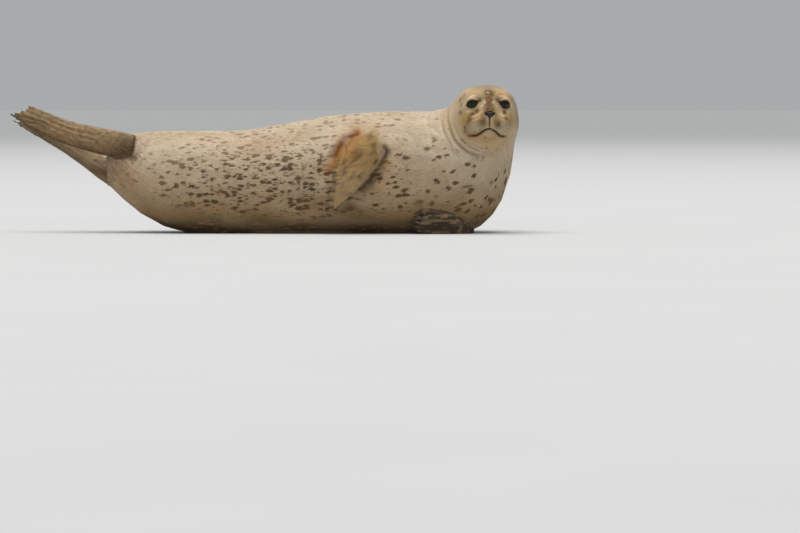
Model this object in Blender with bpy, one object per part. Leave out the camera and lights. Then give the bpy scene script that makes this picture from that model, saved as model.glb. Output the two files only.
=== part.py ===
"""A harbour seal with a spotted coat, life size, hauled out and lying on its left side.

The belly faces -Y, the head is at +X and turns to look along -Y, and the head and the hind
flippers are held clear of the ground. Metres, +Z up, with the ground at Z = 0.
The flesh is one smooth surface: a chain of balls along the spine blended with the rounded
masses of chest, head and muzzle. It is sampled into closed meshes, which thin flat cuts part
into the named pieces. The flippers and the tail are lofted paddles, trimmed where they meet it.
"""

import math

import bmesh
import bpy
import numpy as np
from mathutils import Matrix, Vector
from mathutils.bvhtree import BVHTree

# ---------------------------------------------------------------- driving sizes
GAP = 0.0003  # between neighbouring pieces
ROOM = 0.0007  # how far a cutter is grown, so that its sharp edges clear the gap too
DEPTH_RATIO = 0.92  # a body that rests on its side is a little deeper than it is thick

# Spine stations from rump to neck: x, y, z of the centre, and the radius of flesh round it.
SPINE = (
    (-0.385, 0.000, 0.199, 0.105),
    (-0.330, 0.000, 0.180, 0.128),
    (-0.280, 0.000, 0.163, 0.145),
    (-0.200, 0.000, 0.150, 0.159),
    (-0.050, 0.000, 0.148, 0.162),
    (0.100, 0.000, 0.161, 0.175),
    (0.250, 0.000, 0.172, 0.187),
    (0.400, 0.000, 0.176, 0.191),
    (0.490, 0.000, 0.178, 0.188),
    (0.540, -0.004, 0.190, 0.180),
    (0.574, -0.016, 0.214, 0.165),
    (0.611, -0.036, 0.254, 0.135),
    (0.640, -0.062, 0.306, 0.107),
)
SPINE_BALLS = 90
RUMP_END = -0.4745  # where the flesh of the trunk starts, between the hind flippers
RUMP_ROUNDING = 0.075  # over this length the rings of the trunk crowd together
TRUNK_RINGS_END = 0.520
TRUNK_AROUND = 32  # points in each ring of the trunk and of the fore end
TRUNK_REACH = 0.24  # farther than the flesh lies from the spine anywhere
FORE_END_CENTRE = (0.550, -0.020, 0.195)  # the rays that sample breast and neck start here

# Masses of the trunk outside the spine's own roundness: centre, radii, width of the blend.
TRUNK_MASSES = (
    ("breast", (0.578, -0.015, 0.127), (0.122, 0.112, 0.122), 0.050),
    ("right_shoulder", (0.352, -0.128, 0.246), (0.052, 0.050, 0.050), 0.050),
    ("left_elbow", (0.560, -0.050, 0.055), (0.075, 0.060, 0.055), 0.040),
)

# The head's own frame: x to the seal's left, y up over the crown, z forward along the muzzle.
HEAD_CENTRE = Vector((0.6575, -0.092, 0.3640))
HEAD_TURN = math.radians(4.3)
HEAD_LIFT = math.radians(3.0)
HEAD_ROLL = math.radians(-1.2)
HEAD_RAYS_FROM = (0.0, -0.014, 0.012)
HEAD_REACH = 0.26

# centre, radii, width of the blend; a mass off the midline is made on both sides.
HEAD_MASSES = (
    ("cranium", (0.000, -0.004, 0.000), (0.088, 0.083, 0.096), 0.030),
    ("temple", (0.037, 0.021, -0.010), (0.046, 0.043, 0.060), 0.030),
    ("jowl", (0.046, -0.038, -0.004), (0.050, 0.054, 0.066), 0.030),
    ("brow", (0.036, 0.040, 0.050), (0.026, 0.015, 0.022), 0.022),
    ("bridge", (0.000, -0.006, 0.072), (0.030, 0.028, 0.056), 0.022),
    ("whisker_pad", (0.034, -0.044, 0.084), (0.036, 0.031, 0.036), 0.016),
    ("upper_lip", (0.000, -0.040, 0.096), (0.026, 0.026, 0.028), 0.014),
    ("chin", (0.000, -0.076, 0.074), (0.040, 0.021, 0.036), 0.018),
)
# hollows pressed into the face: below the inner corner of each eye
HEAD_HOLLOWS = (("under_eye", (0.046, 0.004, 0.106), (0.020, 0.018, 0.026), 0.020),)

NAPE_BLEND = 0.032  # width of the blend between head and trunk
EYE_RADIUS = 0.0215
EYE_CENTRE = (0.0440, 0.0200, 0.0615)
NOSE_CENTRE = (0.0, -0.0135, 0.1225)
NOSE_RADII = (0.0185, 0.0120, 0.0110)
MUZZLE_CUT = ((0.0, 0.020, 0.100), (0.0, -0.50, 0.866))  # point and normal, in the head's frame
MOUTH_AT = (0.0, -0.0565, 0.118)
MOUTH_SLOPE = math.radians(21.5)

# Cuts through the trunk, as x, and the cuts through breast and neck, as point and normal.
HIPS_END = -0.255
BELLY_END = 0.115
THORAX_END = 0.485
BREAST_ROOM_FROM = 0.42  # the fore end, as cut out of the left fore flipper, starts inside the thorax
NECK_CUT = ((0.565, -0.020, 0.225), (0.50, -0.30, 0.81))
HEAD_CUT = ((0.660, -0.150, 0.235), (0.35, -0.72, 0.60))

# Across a flipper from -1 to 1: five digits and the webs between them. The outer two are rounder.
DIGIT_MIDDLES = (-0.8, -0.4, 0.0, 0.4, 0.8)
COLUMNS = (-1, -0.94, -0.86, -0.74, -0.6, -0.4, -0.2, 0, 0.2, 0.4, 0.6, 0.74, 0.86, 0.94, 1)
WEB_NOTCH = 0.020  # how far a web falls short of its digits, as a share of the flipper's length
EDGE_ROUNDING = 0.045  # and how far the outer corners do
RIGHT_FORE_DIGITS = (0.78, 0.84, 0.90, 0.96, 1.00)
LEFT_FORE_DIGITS = (0.94, 0.98, 1.00, 0.99, 0.96)
RIGHT_HIND_DIGITS = (0.935, 0.930, 0.950, 0.980, 1.000)
LEFT_HIND_DIGITS = (0.980, 0.945, 0.930, 0.955, 1.000)
FORE_CLAW = (0.026, 0.0034)  # length and half width
HIND_CLAW = (0.016, 0.0024)
FORE_CLAW_START = 0.93  # where along its digit a claw starts
HIND_CLAW_START = 0.97
HIND_CLAW_HEIGHT = 0.0025  # over the middle of the flipper

FUR = (0.56, 0.46, 0.33)
FUR_DARK = (0.36, 0.28, 0.19)
HORN = (0.045, 0.032, 0.022)
EYE_BLACK = (0.010, 0.007, 0.006)
NOSE_BLACK = (0.020, 0.014, 0.016)


# ---------------------------------------------------------------- small helpers
def material(name, colour, roughness):
    made = bpy.data.materials.new(name)
    made.use_nodes = True
    shader = made.node_tree.nodes["Principled BSDF"]
    shader.inputs["Base Color"].default_value = (*colour, 1.0)
    shader.inputs["Roughness"].default_value = roughness
    return made


def smooth_path(stations, count):
    """Points on a Catmull-Rom curve through the rows of stations, evenly shared between them."""
    rows = np.array(stations, float)
    rows = np.vstack([2 * rows[0] - rows[1], rows, 2 * rows[-1] - rows[-2]])
    spans = len(rows) - 3
    made = []
    for where in np.linspace(0, spans, count):
        k = min(int(where), spans - 1)
        t = where - k
        a, b, c, d = rows[k : k + 4]
        made.append(
            0.5 * (2 * b + (c - a) * t + (2 * a - 5 * b + 4 * c - d) * t**2 + (3 * b - a - 3 * c + d) * t**3)
        )
    return np.array(made)


def blended(a, b, width):
    """The smooth union of two distances."""
    share = np.clip(0.5 + 0.5 * (b - a) / width, 0, 1)
    return b * (1 - share) + a * share - width * share * (1 - share)


def ellipsoid(points, centre, radii):
    """Roughly the distance to an ellipsoid, negative inside."""
    offset = points - np.array(centre)
    near = np.linalg.norm(offset / radii, axis=-1)
    steep = np.linalg.norm(offset / np.square(radii), axis=-1)
    return near * (near - 1) / np.maximum(steep, 1e-9)


# ---------------------------------------------------------------- the surface of the flesh
def head_axes():
    """Columns: the head's x, y and z in the seal's frame."""
    forward = Vector((math.sin(HEAD_TURN), -math.cos(HEAD_TURN), 0)) * math.cos(HEAD_LIFT)
    forward.z = math.sin(HEAD_LIFT)
    level = Vector((math.cos(HEAD_TURN), math.sin(HEAD_TURN), 0))
    up = forward.cross(level)
    side = level * math.cos(HEAD_ROLL) + up * math.sin(HEAD_ROLL)
    return np.array([side, forward.cross(side), forward]).T


HEAD_AXES = head_axes()
BALLS = smooth_path(SPINE, SPINE_BALLS)


def head_point(place):
    return np.array(HEAD_CENTRE) + HEAD_AXES @ np.array(place, float)


def head_plane(place, normal):
    return head_point(place), HEAD_AXES @ np.array(normal, float)


def both_sides(centre):
    return (1, -1) if centre[0] else (1,)


def head_distance(points):
    local = (points - np.array(HEAD_CENTRE)) @ HEAD_AXES
    total = None
    for _, centre, radii, width in HEAD_MASSES:
        for side in both_sides(centre):
            mass = ellipsoid(local, (side * centre[0], *centre[1:]), radii)
            total = mass if total is None else blended(total, mass, width)
    for _, centre, radii, width in HEAD_HOLLOWS:
        for side in both_sides(centre):
            hollow = ellipsoid(local, (side * centre[0], *centre[1:]), radii)
            total = -blended(-total, hollow, width)
    return total


def trunk_distance(points):
    squeezed = points * (1, 1 / DEPTH_RATIO, 1)
    centres = BALLS[:, :3] * (1, 1 / DEPTH_RATIO, 1)
    total = np.full(points.shape[:-1], np.inf)
    for centre, radius in zip(centres, BALLS[:, 3]):
        total = np.minimum(total, np.linalg.norm(squeezed - centre, axis=-1) - radius)
    for _, centre, radii, width in TRUNK_MASSES:
        total = blended(total, ellipsoid(points, centre, radii), width)
    return total


def flesh_distance(points):
    return blended(trunk_distance(points), head_distance(points), NAPE_BLEND)


def cast(origins, directions, reach):
    """Where rays from inside the flesh come out of it; a ray that doesn't stops at its reach."""
    steps = np.linspace(0, reach, 70)[1:]
    samples = origins[:, None] + directions[:, None] * steps[None, :, None]
    outside = flesh_distance(samples) > 0
    first = np.where(outside.any(1), outside.argmax(1), len(steps) - 1)
    high = steps[first]
    low = high - steps[0]
    for _ in range(14):
        middle = (low + high) / 2
        out = flesh_distance(origins + directions * middle[:, None]) > 0
        high = np.where(out, middle, high)
        low = np.where(out, low, middle)
    return origins + directions * ((low + high) / 2)[:, None]


# ---------------------------------------------------------------- meshes from rings
def mesh_from_rings(name, rings, first_pole=None, last_pole=None):
    """Closed mesh from rings of points; each end is a fan to its pole, or one flat face."""
    mesh = bmesh.new()
    loops = [[mesh.verts.new(p) for p in ring] for ring in rings]
    around = len(loops[0])
    for here, there in zip(loops, loops[1:]):
        for j in range(around):
            k = (j + 1) % around
            mesh.faces.new((here[j], here[k], there[k], there[j]))
    for loop, pole, turn in ((loops[0], first_pole, -1), (loops[-1], last_pole, 1)):
        if pole is None:
            mesh.faces.new(loop[::turn])
            continue
        tip = mesh.verts.new(pole)
        for j in range(around):
            k = (j + 1) % around
            mesh.faces.new((loop[j], loop[k], tip)[::turn])
    bmesh.ops.triangulate(mesh, faces=[f for f in mesh.faces if len(f.verts) == 4])  # flat faces cut clean
    bmesh.ops.recalc_face_normals(mesh, faces=mesh.faces)
    data = bpy.data.meshes.new(name)
    mesh.to_mesh(data)
    mesh.free()
    return data


def on_ground(points):
    """Flesh that would sink below the ground spreads flat on it."""
    points[:, 2] = np.maximum(points[:, 2], 0.0)
    return points


def trunk_mesh():
    """From the rump to inside the breast, as rings in planes across X."""
    turn = np.linspace(0, 2 * math.pi, TRUNK_AROUND, endpoint=False)
    spokes = np.stack([0 * turn, np.cos(turn), np.sin(turn)], 1)
    run_in = RUMP_END + (1 - np.cos(np.linspace(0, math.pi / 2, 7)))[1:] * RUMP_ROUNDING
    stations = [*run_in[:-1], *np.linspace(run_in[-1], TRUNK_RINGS_END, 17)]
    rings = []
    for x in stations:
        nearest = BALLS[np.abs(BALLS[:, 0] - max(x, SPINE[0][0])).argmin()]
        centre = np.array([x, nearest[1], nearest[2]])
        rings.append(on_ground(cast(np.tile(centre, (TRUNK_AROUND, 1)), spokes, TRUNK_REACH)))
    return mesh_from_rings("trunk", rings, first_pole=(RUMP_END - 0.0012, 0.0, SPINE[0][2]))


def star_mesh(name, centre, pole, across, rings, around, reach, bias=0.0):
    """Rays in every direction from one centre, with the poles of their net along one axis."""
    pole = np.array(pole, float) / np.linalg.norm(pole)
    across = np.array(across, float) - pole * np.dot(across, pole)
    across /= np.linalg.norm(across)
    third = np.cross(pole, across)
    turn = np.linspace(0, 2 * math.pi, around, endpoint=False)
    made = []
    ends = cast(np.tile(centre, (2, 1)), np.array([pole, -pole]), reach)
    for share in np.linspace(0, 1, rings + 2)[1:-1]:
        angle = math.pi * share ** (1 + bias)
        spokes = (
            math.cos(angle) * pole[None]
            + math.sin(angle) * (np.cos(turn)[:, None] * across + np.sin(turn)[:, None] * third)
        )
        made.append(on_ground(cast(np.tile(centre, (around, 1)), spokes, reach)))
    first, last = on_ground(ends)
    return mesh_from_rings(name, made, first_pole=first, last_pole=last)


def kept(mesh, cuts):
    """A copy of a mesh, keeping what lies in front of each cut (point, normal), with flat ends."""
    body = bmesh.new()
    body.from_mesh(mesh)
    for point, normal in cuts:
        normal = Vector(normal).normalized()
        whole = body.verts[:] + body.edges[:] + body.faces[:]
        cut = bmesh.ops.bisect_plane(
            body,
            geom=whole,
            dist=1e-6,
            plane_co=Vector(point) + normal * GAP / 2,
            plane_no=normal,
            clear_inner=True,
        )
        edges = [e for e in cut["geom_cut"] if isinstance(e, bmesh.types.BMEdge) and e.is_boundary]
        bmesh.ops.edgeloop_fill(body, edges=edges)
    bmesh.ops.recalc_face_normals(body, faces=body.faces)
    made = bpy.data.meshes.new(mesh.name)
    body.to_mesh(made)
    body.free()
    return made


def turned(cut):
    point, normal = cut
    return point, tuple(-n for n in normal)


# ---------------------------------------------------------------- objects
def piece(name, mesh, surface, sharp=0.6):
    mesh.name = name
    mesh.materials.clear()
    mesh.materials.append(surface)
    mesh.shade_smooth()
    mesh.set_sharp_from_angle(angle=sharp)
    made = bpy.data.objects.new(name, mesh)
    bpy.context.scene.collection.objects.link(made)
    return made


def hidden(mesh):
    """An object that only cuts others or is joined to them."""
    made = bpy.data.objects.new(mesh.name, mesh)
    made.hide_render = True
    made.display_type = "WIRE"
    bpy.context.scene.collection.objects.link(made)
    return made


def cutter(name, mesh):
    """The room that a piece takes from its neighbours: its shape, grown a little."""
    made = hidden(mesh)
    made.name = "room_" + name
    swell = made.modifiers.new("gap", "DISPLACE")
    swell.strength = ROOM
    swell.mid_level = 0.0
    return made


def trim(target, *rooms):
    for room in rooms:
        cut = target.modifiers.new(room.name, "BOOLEAN")
        cut.operation = "DIFFERENCE"
        cut.object = room
        cut.solver = "EXACT"


# ---------------------------------------------------------------- flippers, tail and claws
def digit_wave(across):
    """1 along the middle of each of the five digits, 0 in the webs between them."""
    return abs(math.sin(2.5 * math.pi * (across + 1)))


class Paddle:
    """A flipper or the tail: its path, its width and depth along it, and its digits.

    A place on it is given as along, 0 to 1 from root to tips, and across, -1 to 1.
    """

    def __init__(self, path, sides, widths, depths, digits=None, ridge=0.0):
        self.path = smooth_path(path, 60)
        self.sides = smooth_path(sides, 60)
        self.widths = smooth_path([[w] for w in widths], 40)[:, 0]
        self.depths = smooth_path([[d] for d in depths], 40)[:, 0]
        self.digits = digits
        self.ridge = ridge

    def read(self, rows, share):
        return np.array([np.interp(share, np.linspace(0, 1, len(rows)), row) for row in rows.T])

    def reach(self, along, across):
        """How far along the path a place lies, where digits and webs end at their own lengths."""
        if self.digits is None:
            return along
        corner = max(abs(across) - DIGIT_MIDDLES[-1], 0) / (1 - DIGIT_MIDDLES[-1])
        short = WEB_NOTCH * (1 - digit_wave(across)) if corner == 0 else EDGE_ROUNDING * corner**2
        return along * (np.interp(across, DIGIT_MIDDLES, self.digits) - short * along**6)

    def frame(self, along, across):
        """Middle of the flesh at a place, and the vector from there to its upper face."""
        share = self.reach(along, across)
        forward = self.read(self.path, min(share + 0.03, 1)) - self.read(self.path, min(share, 0.97))
        forward /= np.linalg.norm(forward)
        side = self.read(self.sides, share)
        side -= forward * side.dot(forward)
        side /= np.linalg.norm(side)
        width = self.read(self.widths[:, None], share)[0]
        depth = self.read(self.depths[:, None], share)[0] * (1 - abs(across) ** 2.6) ** 0.5
        if self.digits is not None:
            fan = np.clip((along - 0.35) / 0.5, 0, 1)
            depth *= 1 - self.ridge * fan * (1 - digit_wave(across))
        return self.read(self.path, share) + side * across * width, np.cross(side, forward) * depth

    def outward(self):
        """1 where the upper face looks outward, towards -Y, and -1 where the lower one does."""
        return 1 if self.frame(0.6, 0.0)[1][1] < 0 else -1

    def mesh(self, name, rings, columns=COLUMNS):
        loop = [(s, 1) for s in columns] + [(s, -1) for s in columns[-2:0:-1]]
        made = []
        for along in (*np.linspace(0, 0.90, rings - 3), 0.95, 0.985, 1.0):
            rounding = math.sqrt(1 - (max(along - 0.9, 0) / 0.101) ** 2)
            ring = []
            for across, upper in loop:
                middle, face = self.frame(along, across)
                ring.append(middle + face * upper * rounding)
            made.append(ring)
        return kept(mesh_from_rings(name, made), [((0, 0, -GAP / 2), (0, 0, 1))])


def claw_mesh(name, base, forward, down, length, half_width):
    """A curved, tapering claw, deeper than it is wide."""
    forward = forward / np.linalg.norm(forward)
    down = down - forward * down.dot(forward)
    down /= np.linalg.norm(down)
    side = np.cross(forward, down)
    turn = np.linspace(0, 2 * math.pi, 5, endpoint=False)
    rings = []
    for t in (0.0, 0.35, 0.75):
        size = half_width * (1 - t**1.8) + 0.0003
        centre = base + forward * length * t + down * length * 0.22 * t**2
        ring = [centre + side * size * math.cos(a) + down * size * 1.25 * math.sin(a) for a in turn]
        rings.append(np.array(ring))
    tip = base + forward * length + down * length * 0.24
    lowest = min(tip[2], min(ring[:, 2].min() for ring in rings))
    lift = np.array([0, 0, max(GAP - lowest, 0)])
    return mesh_from_rings(name, [ring + lift for ring in rings], last_pole=tip + lift)


def net_of(mesh):
    """The mesh as a search tree, for telling whether two pieces cross."""
    return BVHTree.FromPolygons([v.co for v in mesh.vertices], [p.vertices for p in mesh.polygons])


def claws_at(paddle, name, claw, start, height, lean=(0.0, 0.0, 0.0)):
    """Five claws, one over each digit, that start at a height over the flipper's middle."""
    length, half_width = claw
    made = []
    for number, across in enumerate(DIGIT_MIDDLES, 1):
        root, face = paddle.frame(start, across)
        face *= paddle.outward() / np.linalg.norm(face)
        forward = paddle.frame(1.0, across)[0] - root
        forward = forward / np.linalg.norm(forward) + np.array(lean)
        claw_name = f"claw_{name}_{number}"
        mesh = claw_mesh(claw_name, root + face * height, forward, -face, length, half_width)
        made.append((mesh, Vector(face)))
    return made


def lay_claws(flipper, claws, surface):
    """Each claw is a piece of its own that lies on its digit's tip, just clear of it."""
    net = net_of(flipper.data)
    for mesh, face in claws:
        while not net.overlap(net_of(mesh)):
            mesh.transform(Matrix.Translation(-GAP * face))
        mesh.transform(Matrix.Translation(3 * GAP * face))
        piece(mesh.name, mesh, surface)


def grow_claws(flipper, claws):
    """Small claws are one with their flipper."""
    together = bmesh.new()
    for mesh, _ in claws:
        together.from_mesh(mesh)
    joined = bpy.data.meshes.new("claws_" + flipper.name)
    together.to_mesh(joined)
    together.free()
    union = flipper.modifiers.new("claws", "BOOLEAN")
    union.operation = "UNION"
    union.object = hidden(joined)
    union.solver = "EXACT"


# ---------------------------------------------------------------- the seal
def build():
    for old in list(bpy.data.objects):
        bpy.data.objects.remove(old)
    coat = material("coat", FUR, 0.75)
    coat_dark = material("flipper_coat", FUR_DARK, 0.75)
    horn = material("claw_horn", HORN, 0.35)
    eye_wet = material("eye_wet", EYE_BLACK, 0.06)
    nose_skin = material("nose_leather", NOSE_BLACK, 0.35)

    # The trunk in three lengths, then the breast and the neck.
    trunk = trunk_mesh()
    ahead, behind = (1, 0, 0), (-1, 0, 0)
    piece("hips", kept(trunk, [((HIPS_END, 0, 0), behind)]), coat)
    piece("belly", kept(trunk, [((HIPS_END, 0, 0), ahead), ((BELLY_END, 0, 0), behind)]), coat)
    piece("thorax", kept(trunk, [((BELLY_END, 0, 0), ahead), ((THORAX_END, 0, 0), behind)]), coat)
    fore_end = star_mesh("fore_end", FORE_END_CENTRE, NECK_CUT[1], ahead, 19, TRUNK_AROUND, TRUNK_REACH)
    chest_side = ((THORAX_END, 0, 0), ahead)
    piece("breast", kept(fore_end, [chest_side, turned(NECK_CUT), turned(HEAD_CUT)]), coat)
    piece("neck", kept(fore_end, [chest_side, NECK_CUT, turned(HEAD_CUT)]), coat)

    # The head, with the muzzle and the lower jaw in front of it.
    side, _, forward = HEAD_AXES.T
    rays_from = head_point(HEAD_RAYS_FROM)
    whole_head = star_mesh("whole_head", rays_from, forward, side, 24, 38, HEAD_REACH, bias=0.12)
    mouth_normal = (0.0, math.cos(MOUTH_SLOPE), -math.sin(MOUTH_SLOPE))
    muzzle_cut = head_plane(*MUZZLE_CUT)
    mouth_cut = head_plane(MOUTH_AT, mouth_normal)
    head = piece("head", kept(whole_head, [HEAD_CUT, turned(muzzle_cut)]), coat)
    muzzle = piece("muzzle", kept(whole_head, [HEAD_CUT, muzzle_cut, mouth_cut]), coat)
    piece("lower_jaw", kept(whole_head, [HEAD_CUT, muzzle_cut, turned(mouth_cut)]), coat)

    # Eyes and nose leather sit in sockets of their own.
    for name, mirror in (("left", 1), ("right", -1)):
        ball = bmesh.new()
        bmesh.ops.create_uvsphere(ball, u_segments=14, v_segments=8, radius=EYE_RADIUS)
        mesh = bpy.data.meshes.new("eye")
        ball.to_mesh(mesh)
        ball.free()
        spot = head_point((mirror * EYE_CENTRE[0], *EYE_CENTRE[1:]))
        for vertex in mesh.vertices:
            vertex.co = Vector(spot) + vertex.co
        eye = piece("eye_" + name, mesh, eye_wet)
        trim(head, cutter("eye_" + name, eye.data))
    pad = bmesh.new()
    bmesh.ops.create_uvsphere(pad, u_segments=14, v_segments=8, radius=1.0)
    mesh = bpy.data.meshes.new("nose")
    pad.to_mesh(mesh)
    pad.free()
    for vertex in mesh.vertices:
        taper = 1.0 + 0.28 * vertex.co.y
        place = (
            NOSE_CENTRE[0] + NOSE_RADII[0] * vertex.co.x * taper,
            NOSE_CENTRE[1] + NOSE_RADII[1] * vertex.co.y,
            NOSE_CENTRE[2] + NOSE_RADII[2] * vertex.co.z,
        )
        vertex.co = head_point(place)
    nose = piece("nose", mesh, nose_skin)
    trim(muzzle, cutter("nose", nose.data))

    # Flippers. The right one lies on the flank; the left one is folded between breast and ground.
    trunk_room = cutter("trunk", trunk)
    fore_end_ahead = [((BREAST_ROOM_FROM, 0, 0), ahead), turned(HEAD_CUT)]
    breast_room = cutter("fore_end", kept(fore_end, fore_end_ahead))
    right_fore = Paddle(
        path=((0.312, -0.128, 0.278), (0.288, -0.172, 0.232), (0.252, -0.185, 0.172), (0.162, -0.170, 0.090)),
        sides=((0.83, -0.14, -0.54), (0.81, -0.10, -0.57), (0.78, 0.00, -0.63), (0.76, 0.14, -0.63)),
        widths=(0.044, 0.050, 0.050, 0.048, 0.047, 0.044),
        depths=(0.034, 0.030, 0.021, 0.015, 0.011, 0.006),
        digits=RIGHT_FORE_DIGITS,
        ridge=0.42,
    )
    left_fore = Paddle(
        path=((0.600, -0.060, 0.008), (0.584, -0.100, 0.014), (0.524, -0.130, 0.030), (0.438, -0.142, 0.041)),
        sides=((0.0, 0.30, -0.95), (0.0, 0.32, -0.94), (0.0, 0.36, -0.93), (0.0, 0.32, -0.95)),
        widths=(0.010, 0.020, 0.032, 0.039, 0.040, 0.037),
        depths=(0.028, 0.025, 0.018, 0.014, 0.010, 0.006),
        digits=LEFT_FORE_DIGITS,
        ridge=0.42,
    )
    for name, paddle, rooms, lean in (
        ("right", right_fore, (trunk_room,), (-0.50, 0.0, 0.42)),
        ("left", left_fore, (trunk_room, breast_room), (0.0, 0.0, 0.0)),
    ):
        flipper = piece("fore_flipper_" + name, paddle.mesh("flipper", 10), coat_dark)
        claws = claws_at(paddle, "fore_" + name, FORE_CLAW, FORE_CLAW_START, FORE_CLAW[0], lean)
        lay_claws(flipper, claws, horn)
        trim(flipper, *rooms)

    tail_paddle = Paddle(
        path=((-0.425, -0.020, 0.214), (-0.470, -0.026, 0.212), (-0.520, -0.024, 0.216)),
        sides=((0.0, -0.9, -0.4), (0.0, -0.9, -0.4), (0.0, -0.9, -0.4)),
        widths=(0.030, 0.028, 0.021, 0.008),
        depths=(0.016, 0.012, 0.009, 0.004),
    )
    tail = piece("tail", tail_paddle.mesh("tail", 8, COLUMNS[::2]), coat)
    tail_room = cutter("tail", tail.data)
    trim(tail, trunk_room)
    right_hind = Paddle(
        path=((-0.395, -0.062, 0.254), (-0.470, -0.070, 0.271), (-0.60, -0.055, 0.304), (-0.757, -0.028, 0.376)),
        sides=((0.24, -0.40, -0.88), (0.26, -0.42, -0.87), (0.34, -0.42, -0.84), (0.38, -0.36, -0.85)),
        widths=(0.040, 0.045, 0.044, 0.041, 0.037, 0.029),
        depths=(0.036, 0.026, 0.015, 0.011, 0.008, 0.004),
        digits=RIGHT_HIND_DIGITS,
        ridge=0.45,
    )
    left_hind = Paddle(
        path=((-0.395, 0.020, 0.160), (-0.470, 0.012, 0.182), (-0.600, 0.004, 0.268), (-0.754, 0.000, 0.352)),
        sides=((0.50, -0.30, -0.81), (0.52, -0.32, -0.79), (0.52, -0.34, -0.79), (0.50, -0.34, -0.80)),
        widths=(0.040, 0.046, 0.044, 0.038, 0.032, 0.022),
        depths=(0.034, 0.024, 0.014, 0.010, 0.008, 0.004),
        digits=LEFT_HIND_DIGITS,
        ridge=0.45,
    )
    hind_rooms = [trunk_room, tail_room]
    for name, paddle in (("right", right_hind), ("left", left_hind)):
        flipper = piece("hind_flipper_" + name, paddle.mesh("flipper", 11), coat_dark)
        grow_claws(flipper, claws_at(paddle, "hind_" + name, HIND_CLAW, HIND_CLAW_START, HIND_CLAW_HEIGHT))
        trim(flipper, *hind_rooms)
        hind_rooms.append(cutter("hind_flipper_" + name, flipper.data))


build()
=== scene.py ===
# %% [markdown]
# # A spotted seal, hauled out and lying on its side
# A museum's life-size seal starts as a plain cast of the body. A maker then gives it one skin, presses
# the folds and lids into the skin, lays the coat over it, and sets in eyes, nose, claws and whiskers.
# This lesson goes the same way. The cast comes first: it is loaded as a fixed frame, in metres, and
# every place below is measured from it.

# %% Load the cast
import math

import bmesh
import bpy
import numpy as np
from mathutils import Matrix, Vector
from mathutils.bvhtree import BVHTree


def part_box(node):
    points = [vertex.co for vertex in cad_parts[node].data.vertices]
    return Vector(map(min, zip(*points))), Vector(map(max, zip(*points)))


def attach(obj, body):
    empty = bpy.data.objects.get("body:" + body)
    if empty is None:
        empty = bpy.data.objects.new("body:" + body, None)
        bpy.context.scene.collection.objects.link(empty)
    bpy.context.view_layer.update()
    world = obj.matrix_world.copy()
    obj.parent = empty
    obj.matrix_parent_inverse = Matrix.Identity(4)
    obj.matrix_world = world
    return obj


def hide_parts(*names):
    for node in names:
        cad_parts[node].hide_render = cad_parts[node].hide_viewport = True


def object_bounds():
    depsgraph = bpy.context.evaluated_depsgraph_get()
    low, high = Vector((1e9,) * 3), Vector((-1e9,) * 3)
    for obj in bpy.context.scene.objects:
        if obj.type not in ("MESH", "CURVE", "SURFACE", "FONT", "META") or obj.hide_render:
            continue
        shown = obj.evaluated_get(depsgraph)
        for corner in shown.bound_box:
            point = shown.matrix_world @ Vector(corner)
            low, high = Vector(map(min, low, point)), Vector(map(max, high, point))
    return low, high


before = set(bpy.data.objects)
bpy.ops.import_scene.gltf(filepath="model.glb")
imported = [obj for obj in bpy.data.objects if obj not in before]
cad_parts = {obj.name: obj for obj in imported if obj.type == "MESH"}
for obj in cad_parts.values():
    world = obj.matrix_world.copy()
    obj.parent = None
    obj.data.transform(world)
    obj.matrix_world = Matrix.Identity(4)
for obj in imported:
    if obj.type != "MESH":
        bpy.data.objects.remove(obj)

MM = 0.001
cast_box = [list(corner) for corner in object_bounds()]
cast_low, cast_high = (np.array(corner) for corner in cast_box)
print("cast:", len(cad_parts), "pieces,", (cast_high - cast_low).round(3), "m")

# %% [markdown]
# ## Small tools
# A skin has more than a hundred thousand points, and a loop in Python over each of them is slow. NumPy
# moves all of them with one line, so the points of a mesh are copied out to a table, worked on
# there, and copied back.


# %% Copy points out of a mesh and back
def table_of(items, field, width=3, kind=np.float32):
    """Copy one field of all the points, edges or faces of a mesh out to a table."""
    flat = np.empty(len(items) * width, kind)
    items.foreach_get(field, flat)
    return flat.reshape(-1, width)


def points_of(mesh):
    return table_of(mesh.vertices, "co").astype(float)


def normals_of(mesh):
    return table_of(mesh.vertices, "normal").astype(float)


def edges_of(mesh):
    return table_of(mesh.edges, "vertices", 2, np.int32)


def set_points(mesh, points):
    mesh.vertices.foreach_set("co", points.astype(np.float32).ravel())
    mesh.update()


print("the cast's head has", len(points_of(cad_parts["head"].data)), "points")


# %% Lengths, directions and soft steps
def lengths(vectors):
    return np.linalg.norm(vectors, axis=-1)


def unit(vectors):
    vectors = np.asarray(vectors, float)
    return vectors / np.maximum(np.linalg.norm(vectors, axis=-1, keepdims=True), 1e-12)


def ramp(value, start, end):
    """0 up to start and 1 from end on, with a soft step between. It runs down if end is below start."""
    t = np.clip((np.asarray(value, float) - start) / (end - start), 0, 1)
    return t * t * (3 - 2 * t)


def bell(distance, width):
    """1 at no distance, about a third at the width, and 0 far off."""
    return np.exp(-((np.asarray(distance) / width) ** 2))


print("a soft step:", ramp([0, 0.25, 0.5, 1], 0, 1).round(2), "a bell:", bell([0, 1, 2], 1).round(2))


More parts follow.
